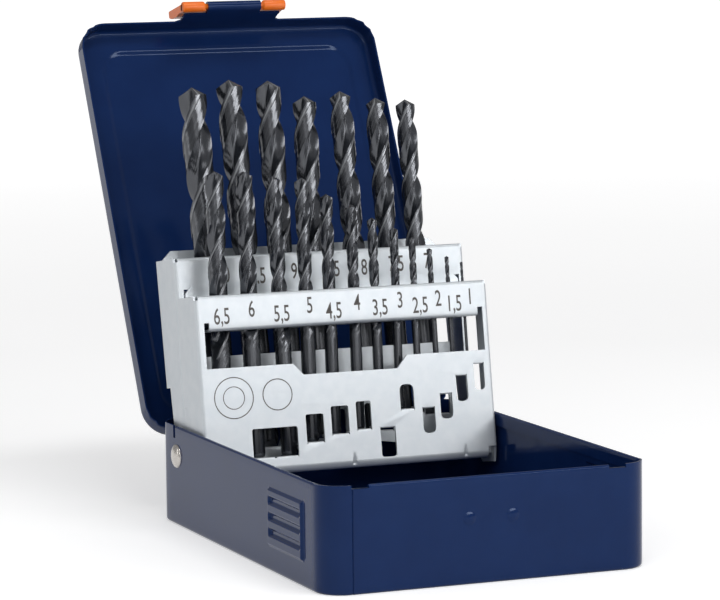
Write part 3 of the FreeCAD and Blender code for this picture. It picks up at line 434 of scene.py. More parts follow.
def tray_skin():
    """Grid of the tray: stations round the plan by steps along the folded profile."""
    grip_ys = np.arange(GRIP_FRONT - 0.4, GRIP_REAR + 0.6, FINE_STEP)
    dimple_xs = np.concatenate([np.linspace(s - 2.8, s + 2.8, 29) for s, _ in DIMPLE_SPOTS])
    ys = np.sort(np.concatenate([grip_ys, steps_at(SLIT_LOW, SLIT_HIGH), [-64.5, -10, 10, 30, 48, 63]]))
    xs = np.sort(np.concatenate([dimple_xs, steps_at(-NICK_END, -HEM_FRONT_HALF, HEM_FRONT_HALF, NICK_END),
                                 SEAM_X + SEAM_HALF * np.array([-1, 0, 1]), [-30, -20, 20, 30]]))
    plan, normal = plan_outline(TRAY_HALF_X, TRAY_HALF_Y, TRAY_CORNER, xs, ys)
    px, py, nx, ny = (a[:, None] for a in (*plan.T, *normal.T))
    side, front = np.abs(nx) > STRAIGHT, ny < -STRAIGHT
    hem = np.where((side & (py < SLIT_LOW)) | (front & (np.abs(px) < HEM_FRONT_HALF)), 1.0, 0.0)
    nick = front & (np.abs(px) > HEM_FRONT_HALF) & (np.abs(px) < NICK_END)
    rim = TRAY_TALL - np.where(side & (py > SLIT_LOW) & (py < SLIT_HIGH), SLIT_DEEP, 0.0)
    rim = rim - np.where(nick, NICK_DEEP, 0.0)

    def strip(offset, height, proud=False):
        """Steps of the profile at an offset inwards from the wall's outside."""
        offset, height = np.broadcast_arrays(offset, np.minimum(height, rim))
        across = (wall_relief(px, py, height, nx, ny) if proud else 0.0) - offset
        return np.stack([px + nx * across, py + ny * across, height], -1)

    foot, floor = (arc((FOOT_OUTER, FOOT_OUTER), *bend).T
                   for bend in ((FOOT_OUTER, 270, 180, 6), (FOOT_INNER, 180, 270, 5)))
    heights = np.concatenate([[3.0], np.arange(GRIP_LOW - 0.3, GRIP_HIGH + 0.5, FINE_STEP),
                              [29.0, 31.0, 32.9]])
    hem_foot = TRAY_TALL - HEM_TALL
    hem_heights = np.array([TRAY_TALL - 1.5, TRAY_TALL - 3.0, hem_foot + TINY])
    inside_heights = np.concatenate([[hem_foot - TINY, hem_foot - 0.25],
                                     np.arange(GRIP_HIGH + 0.5, GRIP_LOW - 0.3, -FINE_STEP), [3.0]])
    rounds = np.radians(np.linspace(0, 180, 9))
    fall = 1 - np.sin(rounds)
    thick = TRAY_SHEET * (1 + hem)
    rim_height = np.where(hem > 0, rim - TRAY_SHEET * fall, rim - RIM_ROUND * fall ** 4)
    return np.concatenate([strip(*foot, True), strip(0.0, heights, True),
                           strip(thick / 2 * (1 - np.cos(rounds)), rim_height),
                           strip(thick * np.ones((1, 3)), hem_heights),
                           strip(TRAY_SHEET, inside_heights, True), strip(*floor)], axis=1)


def tray():
    points, faces = closed_skin(tray_skin())
    piece = mesh_piece("tray_pressing", points, faces, NAVY, "tray")
    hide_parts("base_tray")
    print("tray faces:", len(piece.data.polygons))


tray()

# %% [markdown]
# ## The hinge
#
# Tongues of both sheets are rolled round one wire. A tongue could be bent with a modifier
# from a flat strip, but only its curl and a short web are ever seen, so each knuckle is a
# closed section carried along the wire. The wire shows only at its peened ends.

# %% Knuckles and wire
KNUCKLE_RADIUS, WIRE_RADIUS, WIRE_HALF = 1.65, 0.95, 46.0
TRAY_KNUCKLES = ((15.0, 29.0), (-29.0, -15.0))
LID_KNUCKLES = ((-14.7, 14.7), (29.3, 43.3), (-43.3, -29.3))
WEB_SINK = 0.35                                 # how far the tray's webs reach into its rear wall
LID_WEB = 3.6
CURL_STEPS = 30


def along_x(section, stations):
    """Carries a closed (y, z) section along X; stations are the X places."""
    xs = np.asarray(stations, float)[:, None]
    return np.stack(np.broadcast_arrays(xs, section[:, 0], section[:, 1]), -1)


def crisp_ends(left, right, edge):
    """Stations of a bar with a narrow row of faces at each end."""
    return [left, left + edge, right - edge, right]


def curl(start, end, web):
    """A section rolled round the wire: outer arc, then inner arc back, then the web."""
    return np.concatenate([arc((0, 0), KNUCKLE_RADIUS, start, end, CURL_STEPS),
                           arc((0, 0), WIRE_RADIUS, end, start, CURL_STEPS), web])


def hinge():
    wall = TRAY_HALF_Y - WEB_SINK - HINGE[1]
    tray_curl = curl(90, -260, [(wall, WIRE_RADIUS), (wall, KNUCKLE_RADIUS)])
    lid_curl = curl(180, 480, [(-WIRE_RADIUS - 0.05, LID_WEB), (-KNUCKLE_RADIUS, LID_WEB)])
    for body, spans, section, place in (("tray", TRAY_KNUCKLES, tray_curl, lambda points: points + HINGE),
                                        ("lid", LID_KNUCKLES, lid_curl, on_lid)):
        for number, span in enumerate(spans, 1):
            points, faces = closed_tube(place(along_x(section, crisp_ends(*span, 0.15))), False)
            mesh_piece(f"{body}_knuckle_{number}", points, faces, NAVY, body)
    peened = [(0, 0), (0.6, 0), (0.85, 0.2), (0.9, 0.5)]
    profile = [(r, d - WIRE_HALF) for r, d in peened] + [(r, WIRE_HALF - d) for r, d in peened[::-1]]
    points, faces = side_lathe(profile, 24)
    wire = mesh_piece("hinge_wire", points + HINGE, faces, NICKEL, "tray")
    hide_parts("hinge_pin")


hinge()
print("knuckles:", len(TRAY_KNUCKLES) + len(LID_KNUCKLES))

# %% [markdown]
# ## The lid
#
# The lid is a shallow pressing with one broad embossed panel. The panel could be inset
# and raised from a subdivided plane, but its soft step has to be even all the way round.
# So the lid is again one closed skin: rings run out across the top, down the flange,
# round the rim and back along the inside. The panel's corners are rounder than the lid's
# own inset outline would be, so each ring blends between the lid's outline and the
# panel's.

# %% Outlines of the lid and its panel
LID_HALF_X, LID_REAR, LID_FRONT = 55.95, -1.0, -154.5
LID_RIM, LID_CROWN = 3.5, 10.7
LID_SHEET, LID_CORNER, LID_EDGE = 0.65, 9.95, 2.0
PANEL_INSET, PANEL_CORNER, PANEL_RAISE, PANEL_SOFT = 9.6, 8.0, 0.8, 2.4
PANEL_BORDER, PANEL_WITHIN = (0.35, 0.62), 1.25   # the other rings, as shares of the way to the panel
STEP_OUTSIDE, STEP_INSIDE = 0.8, 0.2            # shares of the soft step on either side of its outline
RIM_WRINKLE, RIM_LIFT = 0.32, -0.25             # gathers of the rim at the corners, out and up
RIM_STEPS = np.array([4.0, 2.2, 1.0, 0.1])      # heights of the flange's rings above the rim


def lid_outlines():
    """The lid's outline and the panel's outline with the same stations."""
    stations_x = np.linspace(-40, 40, 9)
    stations_y = np.linspace(-60, 60, 13)
    half_y = (LID_REAR - LID_FRONT) / 2
    shell = plan_outline(LID_HALF_X, half_y, LID_CORNER, stations_x, stations_y)
    panel = plan_outline(LID_HALF_X - PANEL_INSET, half_y - PANEL_INSET, PANEL_CORNER,
                         stations_x * 0.9, stations_y * 0.9)
    return shell, panel


def rim_wrinkles(angle_share):
    """Small gathers where the drawn rim is squeezed round a corner."""
    return np.sin(angle_share * math.pi * 8) * np.sin(angle_share * math.pi) ** 2


print("lid", 2 * LID_HALF_X, "by", LID_REAR - LID_FRONT, "mm")

# %% The lid's skin
def lid_skin():
    """Grid of the lid: stations round the outline by rings from the outside centre in."""
    (plan, normal), (panel, _) = lid_outlines()
    middle = np.array([0, (LID_REAR + LID_FRONT) / 2])
    corner = np.abs(normal[:, 0] * normal[:, 1])
    share = np.degrees(np.arctan2(np.abs(normal[:, 1]), np.abs(normal[:, 0]))) / 90
    wrinkle = np.where(corner > 0.01, rim_wrinkles(share), 0.0)
    rings = []

    def ring(inset, height, wave=0.0, lift=0.0):
        spot = plan - normal * (inset - wave * wrinkle[:, None])
        rings.append(np.column_stack([spot + middle, height + lift * np.abs(wrinkle)]))

    def blend(share_in, height):
        base = plan - normal * LID_EDGE
        spot = base + (panel - base) * share_in
        rings.append(np.column_stack([spot + middle, np.full(len(spot), height)]))

    def top_rings(drop, reverse):
        """Border, soft step and panel; drop is how far the skin lies below the top."""
        reach = PANEL_INSET - LID_EDGE
        step = np.linspace(1 - PANEL_SOFT / reach * STEP_OUTSIDE, 1 + PANEL_SOFT / reach * STEP_INSIDE, 11)
        shares = np.concatenate([PANEL_BORDER, step, [PANEL_WITHIN]])
        for place in shares[::-1] if reverse else shares:
            rise = smooth_step((place - 1) * reach + PANEL_SOFT * STEP_OUTSIDE, 0, PANEL_SOFT)
            blend(place, LID_CROWN + PANEL_RAISE * rise - drop)

    def flange_rings(inset, steps):
        for height in LID_RIM + steps:
            ring(inset, height, RIM_WRINKLE * (1 - (height - LID_RIM) / RIM_STEPS[0]))

    def edge_rings(radius, start, end):
        for inset, height in arc((LID_EDGE, LID_CROWN - LID_EDGE), radius, start, end, 8):
            ring(inset, height)

    top_rings(0.0, True)
    edge_rings(LID_EDGE, 90, 180)
    flange_rings(0, RIM_STEPS)
    for inset in (RIM_ROUND, LID_SHEET - RIM_ROUND):
        ring(inset, LID_RIM, RIM_WRINKLE, RIM_LIFT)
    flange_rings(LID_SHEET, RIM_STEPS[::-1])
    edge_rings(LID_EDGE - LID_SHEET, 180, 90)
    top_rings(LID_SHEET, False)
    return np.stack(rings, 1)


def lid():
    points, faces = closed_skin(lid_skin())
    piece = mesh_piece("lid_pressing", on_lid(points), faces, NAVY, "lid")
    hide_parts("lid_shell")
    print("lid faces:", len(piece.data.polygons))


lid()

# %% [markdown]
# ## Tongue and rolled eye
#
# The lid's front flange runs on into a tongue whose middle strip is curled outwards into
# an eye for the latch. A tube pushed into a plate would show a seam, so both skins follow
# the sheet's centre line, which is a straight run and then most of a circle. The width
# changes along it, from a flared root to shoulders to the narrow roll.

# %% Tongue surface
ROLL_RADIUS, ROLL_HALF, TONGUE_HALF, TONGUE_FLARE = 1.85, 10.0, 18.0, 1.8
BARREL_RADIUS = 1.9
SHOULDER_GAP, ROLL_TURN = 0.4, -318             # above the barrels, and degrees round the eye
EYE_Y, EYE_Z = LID_FRONT + LID_SHEET - ROLL_RADIUS, -5.4


def tongue():
    """Two skins of one sheet: s runs down the tongue and round the roll, u across it."""
    half = LID_SHEET / 2
    plane_y = LID_FRONT + half
    shoulder = EYE_Z + BARREL_RADIUS + SHOULDER_GAP
    straight = np.concatenate([np.linspace(LID_RIM + 0.5, LID_RIM - TONGUE_FLARE, 8),
                               [shoulder + TINY, shoulder - TINY, (shoulder + EYE_Z) / 2]])
    roll = arc((EYE_Y, EYE_Z), ROLL_RADIUS - half, 0, ROLL_TURN, 44)
    path = np.concatenate([np.stack([np.full_like(straight, plane_y), straight], -1), roll])
    round_eye = np.stack([roll[:, 1] - EYE_Z, EYE_Y - roll[:, 0]], -1)
    tangent = np.concatenate([np.tile([0.0, -1.0], (len(straight), 1)), round_eye])
    tangent /= np.linalg.norm(tangent, axis=1)[:, None]
    side = np.stack([tangent[:, 1], -tangent[:, 0]], -1)
    height = path[:, 1]
    flare = TONGUE_FLARE * (1 - np.sin(np.clip((LID_RIM - height) / TONGUE_FLARE, 0, 1) * math.pi / 2))
    width = np.where(height > shoulder, TONGUE_HALF + flare, ROLL_HALF)
    width[len(straight):] = ROLL_HALF
    across = np.concatenate([[-1, -0.99], np.linspace(-0.9, 0.9, 9), [0.99, 1]])
    skins = []
    for sign in (-half, half):
        spot = (path + side * sign)[:, None]
        skins.append(np.stack(np.broadcast_arrays(np.outer(width, across), spot[..., 0], spot[..., 1]), -1))
    loop = np.concatenate([skins[0], skins[1][:, ::-1]], axis=1)
    points, faces = closed_tube(on_lid(loop), False)
    piece = mesh_piece("latch_tongue", points, faces, NAVY, "lid")
    print("tongue faces:", len(piece.data.polygons))


tongue()

# %% [markdown]
# ## The latch
#
# The latch is one moulding: a hollow-backed lever between two barrels, each necked down
# to a journal that sits in the rolled eye. It could be cut from a block with booleans,
# but those leave untidy faces round the thin neck. The barrels and journals are turned
# profiles instead, and the lever is a closed section carried from side to side.

# %% Barrels, journals and lever
LATCH_HALF, JOURNAL_RADIUS = 19.5, 1.0
LEVER_REACH, LEVER_INNER, LEVER_OUTER, LEVER_NECK = 14.7, 1.1, 2.2, 1.5
LEVER_START = 10.4                              # where the arms end beside the eye


def barrel(side, word):
    """One barrel and its journal as a turned profile, outer end first."""
    end, wide, thin = LATCH_HALF, BARREL_RADIUS, JOURNAL_RADIUS
    profile = [(0, end), (wide - 0.5, end), (wide - 0.15, end - 0.15), (wide, end - 0.5), (wide, 11.7),
               (wide - 0.12, 11.35), (wide - 0.45, 11.1), (thin + 0.25, 10.9), (thin, 10.5), (thin, 6.6),
               (0, 6.4)]
    points, faces = side_lathe(profile, 40, side)
    mesh_piece("latch_barrel_" + word, on_latch(points), faces, ORANGE, "latch")


def lever():
    """Closed section of the lever, swept across with end walls."""
    neck, outer, reach = LEVER_NECK, LEVER_OUTER, LEVER_REACH
    section = np.array([
        (-neck, 0.0), (-neck, -3.2), (-neck - 0.15, -4.6), (-outer + 0.12, -6.4), (-outer, -8.0),
        (-outer, -10.6), (-outer * 0.86, -12.8), (-outer * 0.6, -reach + 0.25), (-outer * 0.45, -reach),
        (LEVER_INNER - 0.3, -reach), (LEVER_INNER, -reach + 0.3), (LEVER_INNER, 0.0)])
    for number, span in enumerate(((-LATCH_HALF, -LEVER_START), (LEVER_START, LATCH_HALF)), 1):
        points, faces = closed_tube(on_latch(along_x(section, crisp_ends(*span, 0.2))), False)
        mesh_piece(f"latch_arm_{number}", points, faces, ORANGE, "latch")
    section[:, 1] = np.minimum(section[:, 1], -ROLL_RADIUS - 0.9)
    points, faces = closed_tube(on_latch(along_x(section, [-LEVER_START - 0.5, LEVER_START + 0.5])), False)
    piece = mesh_piece("latch_lever", points, faces, ORANGE, "latch")
    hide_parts("latch")


barrel(-1, "left")
barrel(1, "right")
lever()
print("latch made")

# %% [markdown]
# ## The rack, folded from blanks
#
# Each rack section is one sheet: punched flat, then folded. The same is done here. The
# folded shape could be modelled directly, but then every hole has to be worked out on a
# bent surface, while in the blank it is only a loop of points. The blank is drawn flat
# with its windows, and every flap in it, such as a shelf, a cheek or a lanced seat tab,
# is walked along a path of straight runs and bends. The walk gives each point of the
# blank its folded place and the direction of the sheet's thickness.

# %% Rounded outlines and the walk along a fold
RACK_SHEET = 0.8
WALL = 52.7
BEND = 1.2
FOOT_BEND = 2.5
TAB_BEND = 0.45
TAB_GAP = 0.35


def rounded(corners, radius, steps=5):
    """A polygon with each corner replaced by a small curve between its two tangents."""
    corners = np.asarray(corners, float)
    before, after = np.roll(corners, 1, 0), np.roll(corners, -1, 0)
    into = before - corners
    out = after - corners
    reach = np.minimum(radius, 0.45 * np.minimum(np.linalg.norm(into, axis=1), np.linalg.norm(out, axis=1)))
    into = into / np.linalg.norm(into, axis=1)[:, None] * reach[:, None]
    out = out / np.linalg.norm(out, axis=1)[:, None] * reach[:, None]
    t = np.linspace(0, 1, steps)[None, :, None]
    curve = corners[:, None] + into[:, None] * (1 - t) ** 2 + out[:, None] * t ** 2
    return curve.reshape(-1, 2)


def circle(x, y, radius, stretch=1.0, steps=28):
    """A circle in the blank; stretch undoes a flap's scale along the walk."""
    a = np.linspace(0, 2 * math.pi, steps, endpoint=False)
    return np.stack([x + radius * np.cos(a), y + radius / stretch * np.sin(a)], -1)


def path_length(path):
    return sum(amount if radius == 0 else radius * math.radians(abs(amount)) for radius, amount in path)


def walk(path, distance):
    """Place and heading after a distance along a path of runs and bends.

    A run is (0, length) and a bend is (skin radius, angle in degrees, positive to the
    rear). On a bend the place is the integral of (cos h, sin h) with h growing evenly.
    """
    placed = [np.zeros_like(distance) for _ in range(3)]
    reached, start = (0.0, 0.0, 0.0), 0.0
    for radius, amount in path:
        length, h = path_length([(radius, amount)]), reached[2]

        def after(d):
            """Steps along and to the rear, and the turn, at a distance into this run or bend."""
            if radius == 0:
                return d * math.cos(h), d * math.sin(h), 0.0 * d
            signed = math.copysign(radius, amount)
            turn = np.clip(d, 0, length) / signed
            return signed * (np.sin(h + turn) - math.sin(h)), -signed * (np.cos(h + turn) - math.cos(h)), turn

        d = distance - start
        placed = [np.where(d >= 0, base + step, old) for base, step, old in zip(reached, after(d), placed)]
        reached = tuple(base + step for base, step in zip(reached, after(length)))
        start += length
    return placed


def flap(axis, at, direction, low, high, path, room=None):
    """A flap of the blank: where it starts, which way it runs, its sides and its path.

    Where a lanced flap has less room in the blank than its length, scale makes it up.
    """
    length = path_length(path)
    room = room or length
    return {"axis": axis, "at": at, "direction": direction, "low": low, "high": high, "path": path,
            "room": room, "scale": length / room}


print("a right-angle bend takes", round(path_length([(BEND, 90)]), 2), "mm of sheet")

# %% A blank and its two skins
JOINED = 1e-4                                   # millimetres between points of a blank that are one
BEND_CUTS = 6
CUT_SLACK, FOLD_SLACK = 0.01, 1e-3              # how far past its own sides a flap still counts


def blank_work(outline, holes):
    """A flat filled sheet with holes, from a two-dimensional curve, as a bmesh."""
    curve = bpy.data.curves.new("blank", "CURVE")
    curve.dimensions = "2D"
    curve.fill_mode = "BOTH"
    for loop in [outline, *holes]:
        spline = curve.splines.new("POLY")
        spline.points.add(len(loop) - 1)
        co = np.column_stack([loop, np.zeros(len(loop)), np.ones(len(loop))])
        spline.points.foreach_set("co", co.ravel())
        spline.use_cyclic_u = True
    flat = curve_mesh("blank", curve)
    work = bmesh.new()
    work.from_mesh(flat)
    bpy.data.meshes.remove(flat)
    bmesh.ops.remove_doubles(work, verts=work.verts, dist=JOINED)
    return work


def blank_parts(work):
    """Points of a cut blank, its faces and the edges along its rims, both by index."""
    for number, vert in enumerate(work.verts):
        vert.index = number
    flat = np.array([vert.co[:2] for vert in work.verts])
    faces = [[vert.index for vert in face.verts] for face in work.faces]
    rims = [[vert.index for vert in edge.verts] for edge in work.edges if len(edge.link_faces) == 1]
    work.free()
    return flat, faces, rims


def two_skins(name, near, far, faces, rims):
    """A piece of the rack's sheet from its two skins, joined round every cut edge."""
    count = len(near)
    solid = faces + [[index + count for index in face[::-1]] for face in faces]
    solid += [[a, b, b + count, a + count] for a, b in rims]
    return mesh_piece(name, on_rack(np.concatenate([near, far])), solid, ZINC, "rack")

# %% Cuts where a blank bends or is pressed in
def cut_bends(work, flaps):
    """Cuts the flat sheet across each flap where its bends need edges."""
    for item in flaps:
        axis = 1 if item["axis"] == "v" else 0
        normal = (0, 1, 0) if axis else (1, 0, 0)
        places, start = [0.0], 0.0
        for radius, amount in item["path"]:
            length = path_length([(radius, amount)])
            pieces = 1 if radius == 0 else BEND_CUTS
            places += [start + length * (k + 1) / pieces for k in range(pieces)]
            start += length
        for number, distance in enumerate(places[:-1]):
            place = item["at"] + item["direction"] * distance / item["scale"]
            middle = [(face, face.calc_center_median()) for face in work.faces]
            faces = [face for face, c in middle if number == 0 or
                     (item["low"] - CUT_SLACK < c[1 - axis] < item["high"] + CUT_SLACK
                      and 0 < (c[axis] - item["at"]) * item["direction"] < item["room"] + CUT_SLACK)]
            spot = (0, place, 0) if axis else (place, 0, 0)
            around = set(faces)
            around.update(edge for face in faces for edge in face.edges)
            around.update(vert for face in faces for vert in face.verts)
            bmesh.ops.bisect_plane(work, geom=list(around), plane_co=spot, plane_no=normal, dist=JOINED)


def cut_darts(work, darts):
    """Cuts the flat sheet finely where darts are pressed in."""
    cuts = [((x + k * DART_HALF / 3, 0, 0), (1, 0, 0)) for x in darts for k in range(-3, 4)]
    if darts:
        cuts += [((0, v, 0), (0, 1, 0)) for v in np.linspace(DART_FOOT, DART_TIP, 15)]
    for place, normal in cuts:
        geometry = work.verts[:] + work.edges[:] + work.faces[:]
        bmesh.ops.bisect_plane(work, geom=geometry, plane_co=place, plane_no=normal, dist=JOINED)


def dart_depth(flat, darts):
    """How far each point of the blank is pressed in: a groove that widens towards the foot bend."""
    depth = np.zeros(len(flat))
    down = np.clip((DART_TIP - flat[:, 1]) / (DART_TIP - DART_FOOT), 0, 1)
    fade = smooth_step(down, 0.0, 0.25) * (1 - smooth_step(down, 0.85, 1.0))
    for x in darts:
        side = 1 - np.abs(flat[:, 0] - x) / (DART_HALF * np.maximum(down, 0.15))
        depth += DART_DEEP * down * fade * np.clip(side, 0, 1)
    return depth

# %% Folding a blank
def fold(flat, flaps, face_reach):
    """Folded skin and thickness direction of each point of a blank in the rack's frame."""
    x, v = flat[:, 0], flat[:, 1]
    skin = np.stack([x, np.full_like(x, -face_reach), v], -1)
    thick = np.tile([0.0, 1.0, 0.0], (len(x), 1))
    for item in flaps:
        main, other = (v, x) if item["axis"] == "v" else (x, v)
        past = (main - item["at"]) * item["direction"]
        inside = (past > 1e-5) & (past < item["room"] + FOLD_SLACK)
        inside &= (other > item["low"] - FOLD_SLACK) & (other < item["high"] + FOLD_SLACK)
        along, rear, heading = walk(item["path"], past * item["scale"])
        place = item["at"] + item["direction"] * along
        column = 2 if item["axis"] == "v" else 0
        skin[inside, column] = place[inside]
        skin[inside, 1] = (rear - face_reach)[inside]
        thick[inside, 1] = np.cos(heading)[inside]
        thick[inside, column] = -item["direction"] * np.sin(heading)[inside]
    return skin, thick


def folded_sheet(name, outline, holes, flaps, face_reach, darts=()):
    """Blank, cuts, fold and both skins joined round every cut edge."""
    work = blank_work(outline, holes)
    cut_bends(work, flaps)
    cut_darts(work, darts)
    flat, faces, rims = blank_parts(work)
    skin, thick = fold(flat, flaps, face_reach)
    skin = skin + thick * dart_depth(flat, darts)[:, None]
    return two_skins(name, skin, skin + thick * RACK_SHEET, faces, rims)

# %% [markdown]
# ## Drill positions
#
# The drills set out the rack: every shelf hole, seat tab and window follows the drill
# that it serves. Each sheet could have its own list of holes, but one table keeps the
# holes and the drills in step. Front drills stand ahead of the pivot and rear drills
# behind it, each leaning a little in its holes.

# %% The drill rows
POINT_HALF_ANGLE = math.radians(59)
# x is where the axis passes the label strip, lean is in degrees, and turn is the
# direction of a flute's middle where the flutes begin. The rest is the drill's window.
Drill = namedtuple("Drill", "label diameter length x seat lean turn middle width height corner tab",
                   defaults=(None,) * 5)
FRONT_ROW = [Drill(*row) for row in (
    ("6,5", 6.5, 101, -41.5, -7.2, 1.8, 20),
    ("6", 6.0, 95.65, -30.7, -2.4, 1.3, 60, -31.8, 7.7, 9.7, 0.8, "below"),
    ("5,5", 5.5, 93.65, -19.7, -2.4, 0.4, 100, -23.6, 8.2, 9.7, 0.8, "below"),
    ("5", 5.0, 88.65, -10.4, 1.6, 1.7, 140, -13.2, 6.4, 9.3, 0.8, "below"),
    ("4,5", 4.5, 80.65, -1.9, 3.7, 2.0, 0, -4.1, 6.3, 9.3, 0.8, "below"),
    ("4", 4.0, 75.7, 7.0, 4.7, 2.0, 40, 4.5, 5.4, 9.3, 0.8, "below"),
    ("3,5", 3.5, 70.3, 14.7, 5.3, 1.5, 80, 12.9, 5.5, 9.7, 1.1, "above"),
    ("3", 3.0, 61.5, 22.3, 10.4, 2.0, 120, 20.6, 5.1, 8.3, 2.2, "below"),
    ("2,5", 2.5, 57.4, 29.1, 10.9, 1.5, 160, 28.2, 4.6, 8.4, 1.9, "above"),
    ("2", 2.0, 49, 35.7, 15.2, 0.3, 20, 34.9, 4.5, 8.3, 1.9, "above"),
    ("1,5", 1.5, 40.2, 41.9, 21.0, 0.5, 60, 41.0, 4.3, 8.6, 1.9, "above"),
    ("1", 1.0, 34.3, 47.3, 24.7, 0.3, 100, 47.7, 3.8, 8.9, 1.7, "above"))]
REAR_ROW = [Drill(*row) for row in (
    ("10", 10.0, 133, -37.2, -9.4, -1.8, 56), ("9,5", 9.5, 125, -23.6, 0.8, -1.9, 54),
    ("9", 9.0, 125, -11.4, 0.0, -0.3, 59), ("8,5", 8.5, 117, 0.4, 2.3, 0.8, 44),
    ("8", 8.0, 117, 15.9, 3.6, -1.4, 161), ("7,5", 7.5, 109, 28.5, 8.8, -1.1, 168),
    ("7", 7.0, 109, 38.8, 7.9, -0.3, 153))]
FRONT_FACE, FRONT_TOP, FRONT_LABEL, FRONT_LINE = 21.8, 52.2, 11.9, 14.0
REAR_FACE, REAR_TOP, REAR_LABEL, REAR_LINE = 4.06, 65.85, 11.8, -4.5
FRONT_GUIDE, REAR_GUIDE = FRONT_TOP - FRONT_LABEL, REAR_TOP - REAR_LABEL
FRONT_MIDDLE, REAR_MIDDLE = FRONT_TOP - FRONT_LABEL / 2, REAR_TOP - REAR_LABEL / 2
HOLE_GAP, REAR_HOLE_GAP, SEAT_GAP = 0.3, 0.4, 0.1


def tag(drill):
    return drill.label.replace(",", "_")


def drill_x(drill, height, middle):
    """Where a leaning drill's axis passes a height in the rack's frame."""
    return drill.x + math.tan(math.radians(drill.lean)) * (height - middle)


def hole_loops(row, middle, depth, gap, *shelves):
    """Round holes of each shelf's flap, at a depth along its walk, undistorted once folded."""
    return [circle(drill_x(drill, height, middle), item["at"] + item["direction"] * depth / item["scale"],
                   drill.diameter / 2 + gap, item["scale"]) for height, item in shelves for drill in row]


print("drills:", len(FRONT_ROW), "in front,", len(REAR_ROW), "behind")

# %% [markdown]
# ## The front section
#
# The front section has a label strip, a wide window with a dipped sill below it, and
# small windows low down, out of which tabs are bent back for the drills to stand on. The
# windows could be cut with booleans after folding, but in the flat blank they are simple
# outlines, and the tabs fold with everything else.

# %% Windows of both sections
WINDOW_LEFT, WINDOW_RIGHT = -49.9, 50.5
RELIEF = 1.8
TAB_RUN = 10.0
TAB_FREE = 0.9                                  # what a window has left over past its tab


def guide_shelf(height, run, room):
    """The flap that is lanced out of a wide window and bent back at a height to guide the drills."""
    return flap("v", height + BEND, -1, WINDOW_LEFT + RELIEF, WINDOW_RIGHT - RELIEF,
                [(BEND, 90), (0, run)], room)


def mirrored(points):
    """The left half of an outline from its right half."""
    return [(-x, y) for x, y in points[::-1]]


def wide_window(sill, guide, relief_top):
    """The window below a label strip: its sill, then the reliefs beside the guide's flap."""
    left, right, low = WINDOW_LEFT + RELIEF, WINDOW_RIGHT - RELIEF, guide["at"] - guide["room"]
    return np.array([*sill, (WINDOW_RIGHT, relief_top), (right, relief_top), (right, low), (left, low),
                     (left, relief_top), (WINDOW_LEFT, relief_top)])


def tab_window(group):
    """A seat window for one or two drills: an opening with a slit round each tab, and the tabs' flaps."""
    drill = group[0]
    left, right = drill.middle - drill.width / 2, group[-1].middle + group[-1].width / 2
    room = drill.height + TAB_BEND - TAB_FREE
    if drill.tab == "below":
        at, direction = drill.seat - TAB_BEND, 1
        near, far = drill.seat - TAB_BEND, drill.seat + drill.height
    else:
        at, direction = drill.seat - RACK_SHEET + TAB_BEND, -1
        far = drill.seat - RACK_SHEET - drill.height
        near = far + drill.height + TAB_BEND
    flaps, loop = [], [(left, far), (left, near)]
    for seat in group:
        half = seat.width / 2 - TAB_GAP
        a, b, end = seat.middle - half, seat.middle + half, at + direction * room
        flaps.append(flap("v", at, direction, a, b, [(TAB_BEND, 90), (0, TAB_RUN)], room))
        loop += [(a, at), (a, end), (b, end), (b, at)]
    loop = np.array(loop + [(right, near), (right, far)])
    ends = [rounded(loop[list(trio)], drill.corner, 6)[6:12] for trio in ((-1, 0, 1), (-2, -1, 0))]
    return np.concatenate([ends[0], loop[1:-1], ends[1]]), flaps


def cut_tabs(groups, holes, flaps):
    """Adds every group's window and flaps to a section's own."""
    for group in groups:
        loop, more = tab_window(group)
        holes.append(loop)
        flaps += more

# %% Blank of the front section
SILL_LEFT, SILL_RIGHT, SILL_DIP = 28.0, 28.5, 24.2
RELIEF_RISE, REAR_RELIEF_RISE = 2.9, 1.2
DIP = ((-19.5, SILL_LEFT), (-16.0, SILL_DIP), (17.9, SILL_DIP), (21.6, SILL_RIGHT))
DARTS = (0.3, 41.0)
DART_TIP, DART_FOOT, DART_HALF, DART_DEEP = -2.4, -7.4, 1.1, 0.8
RIGHT_ANGLE = math.pi / 2
SHELF_HALF, FOOT_HALF = 49.7, 49.3
LAP = 13.45                                     # run of the front section's sides, past their bends


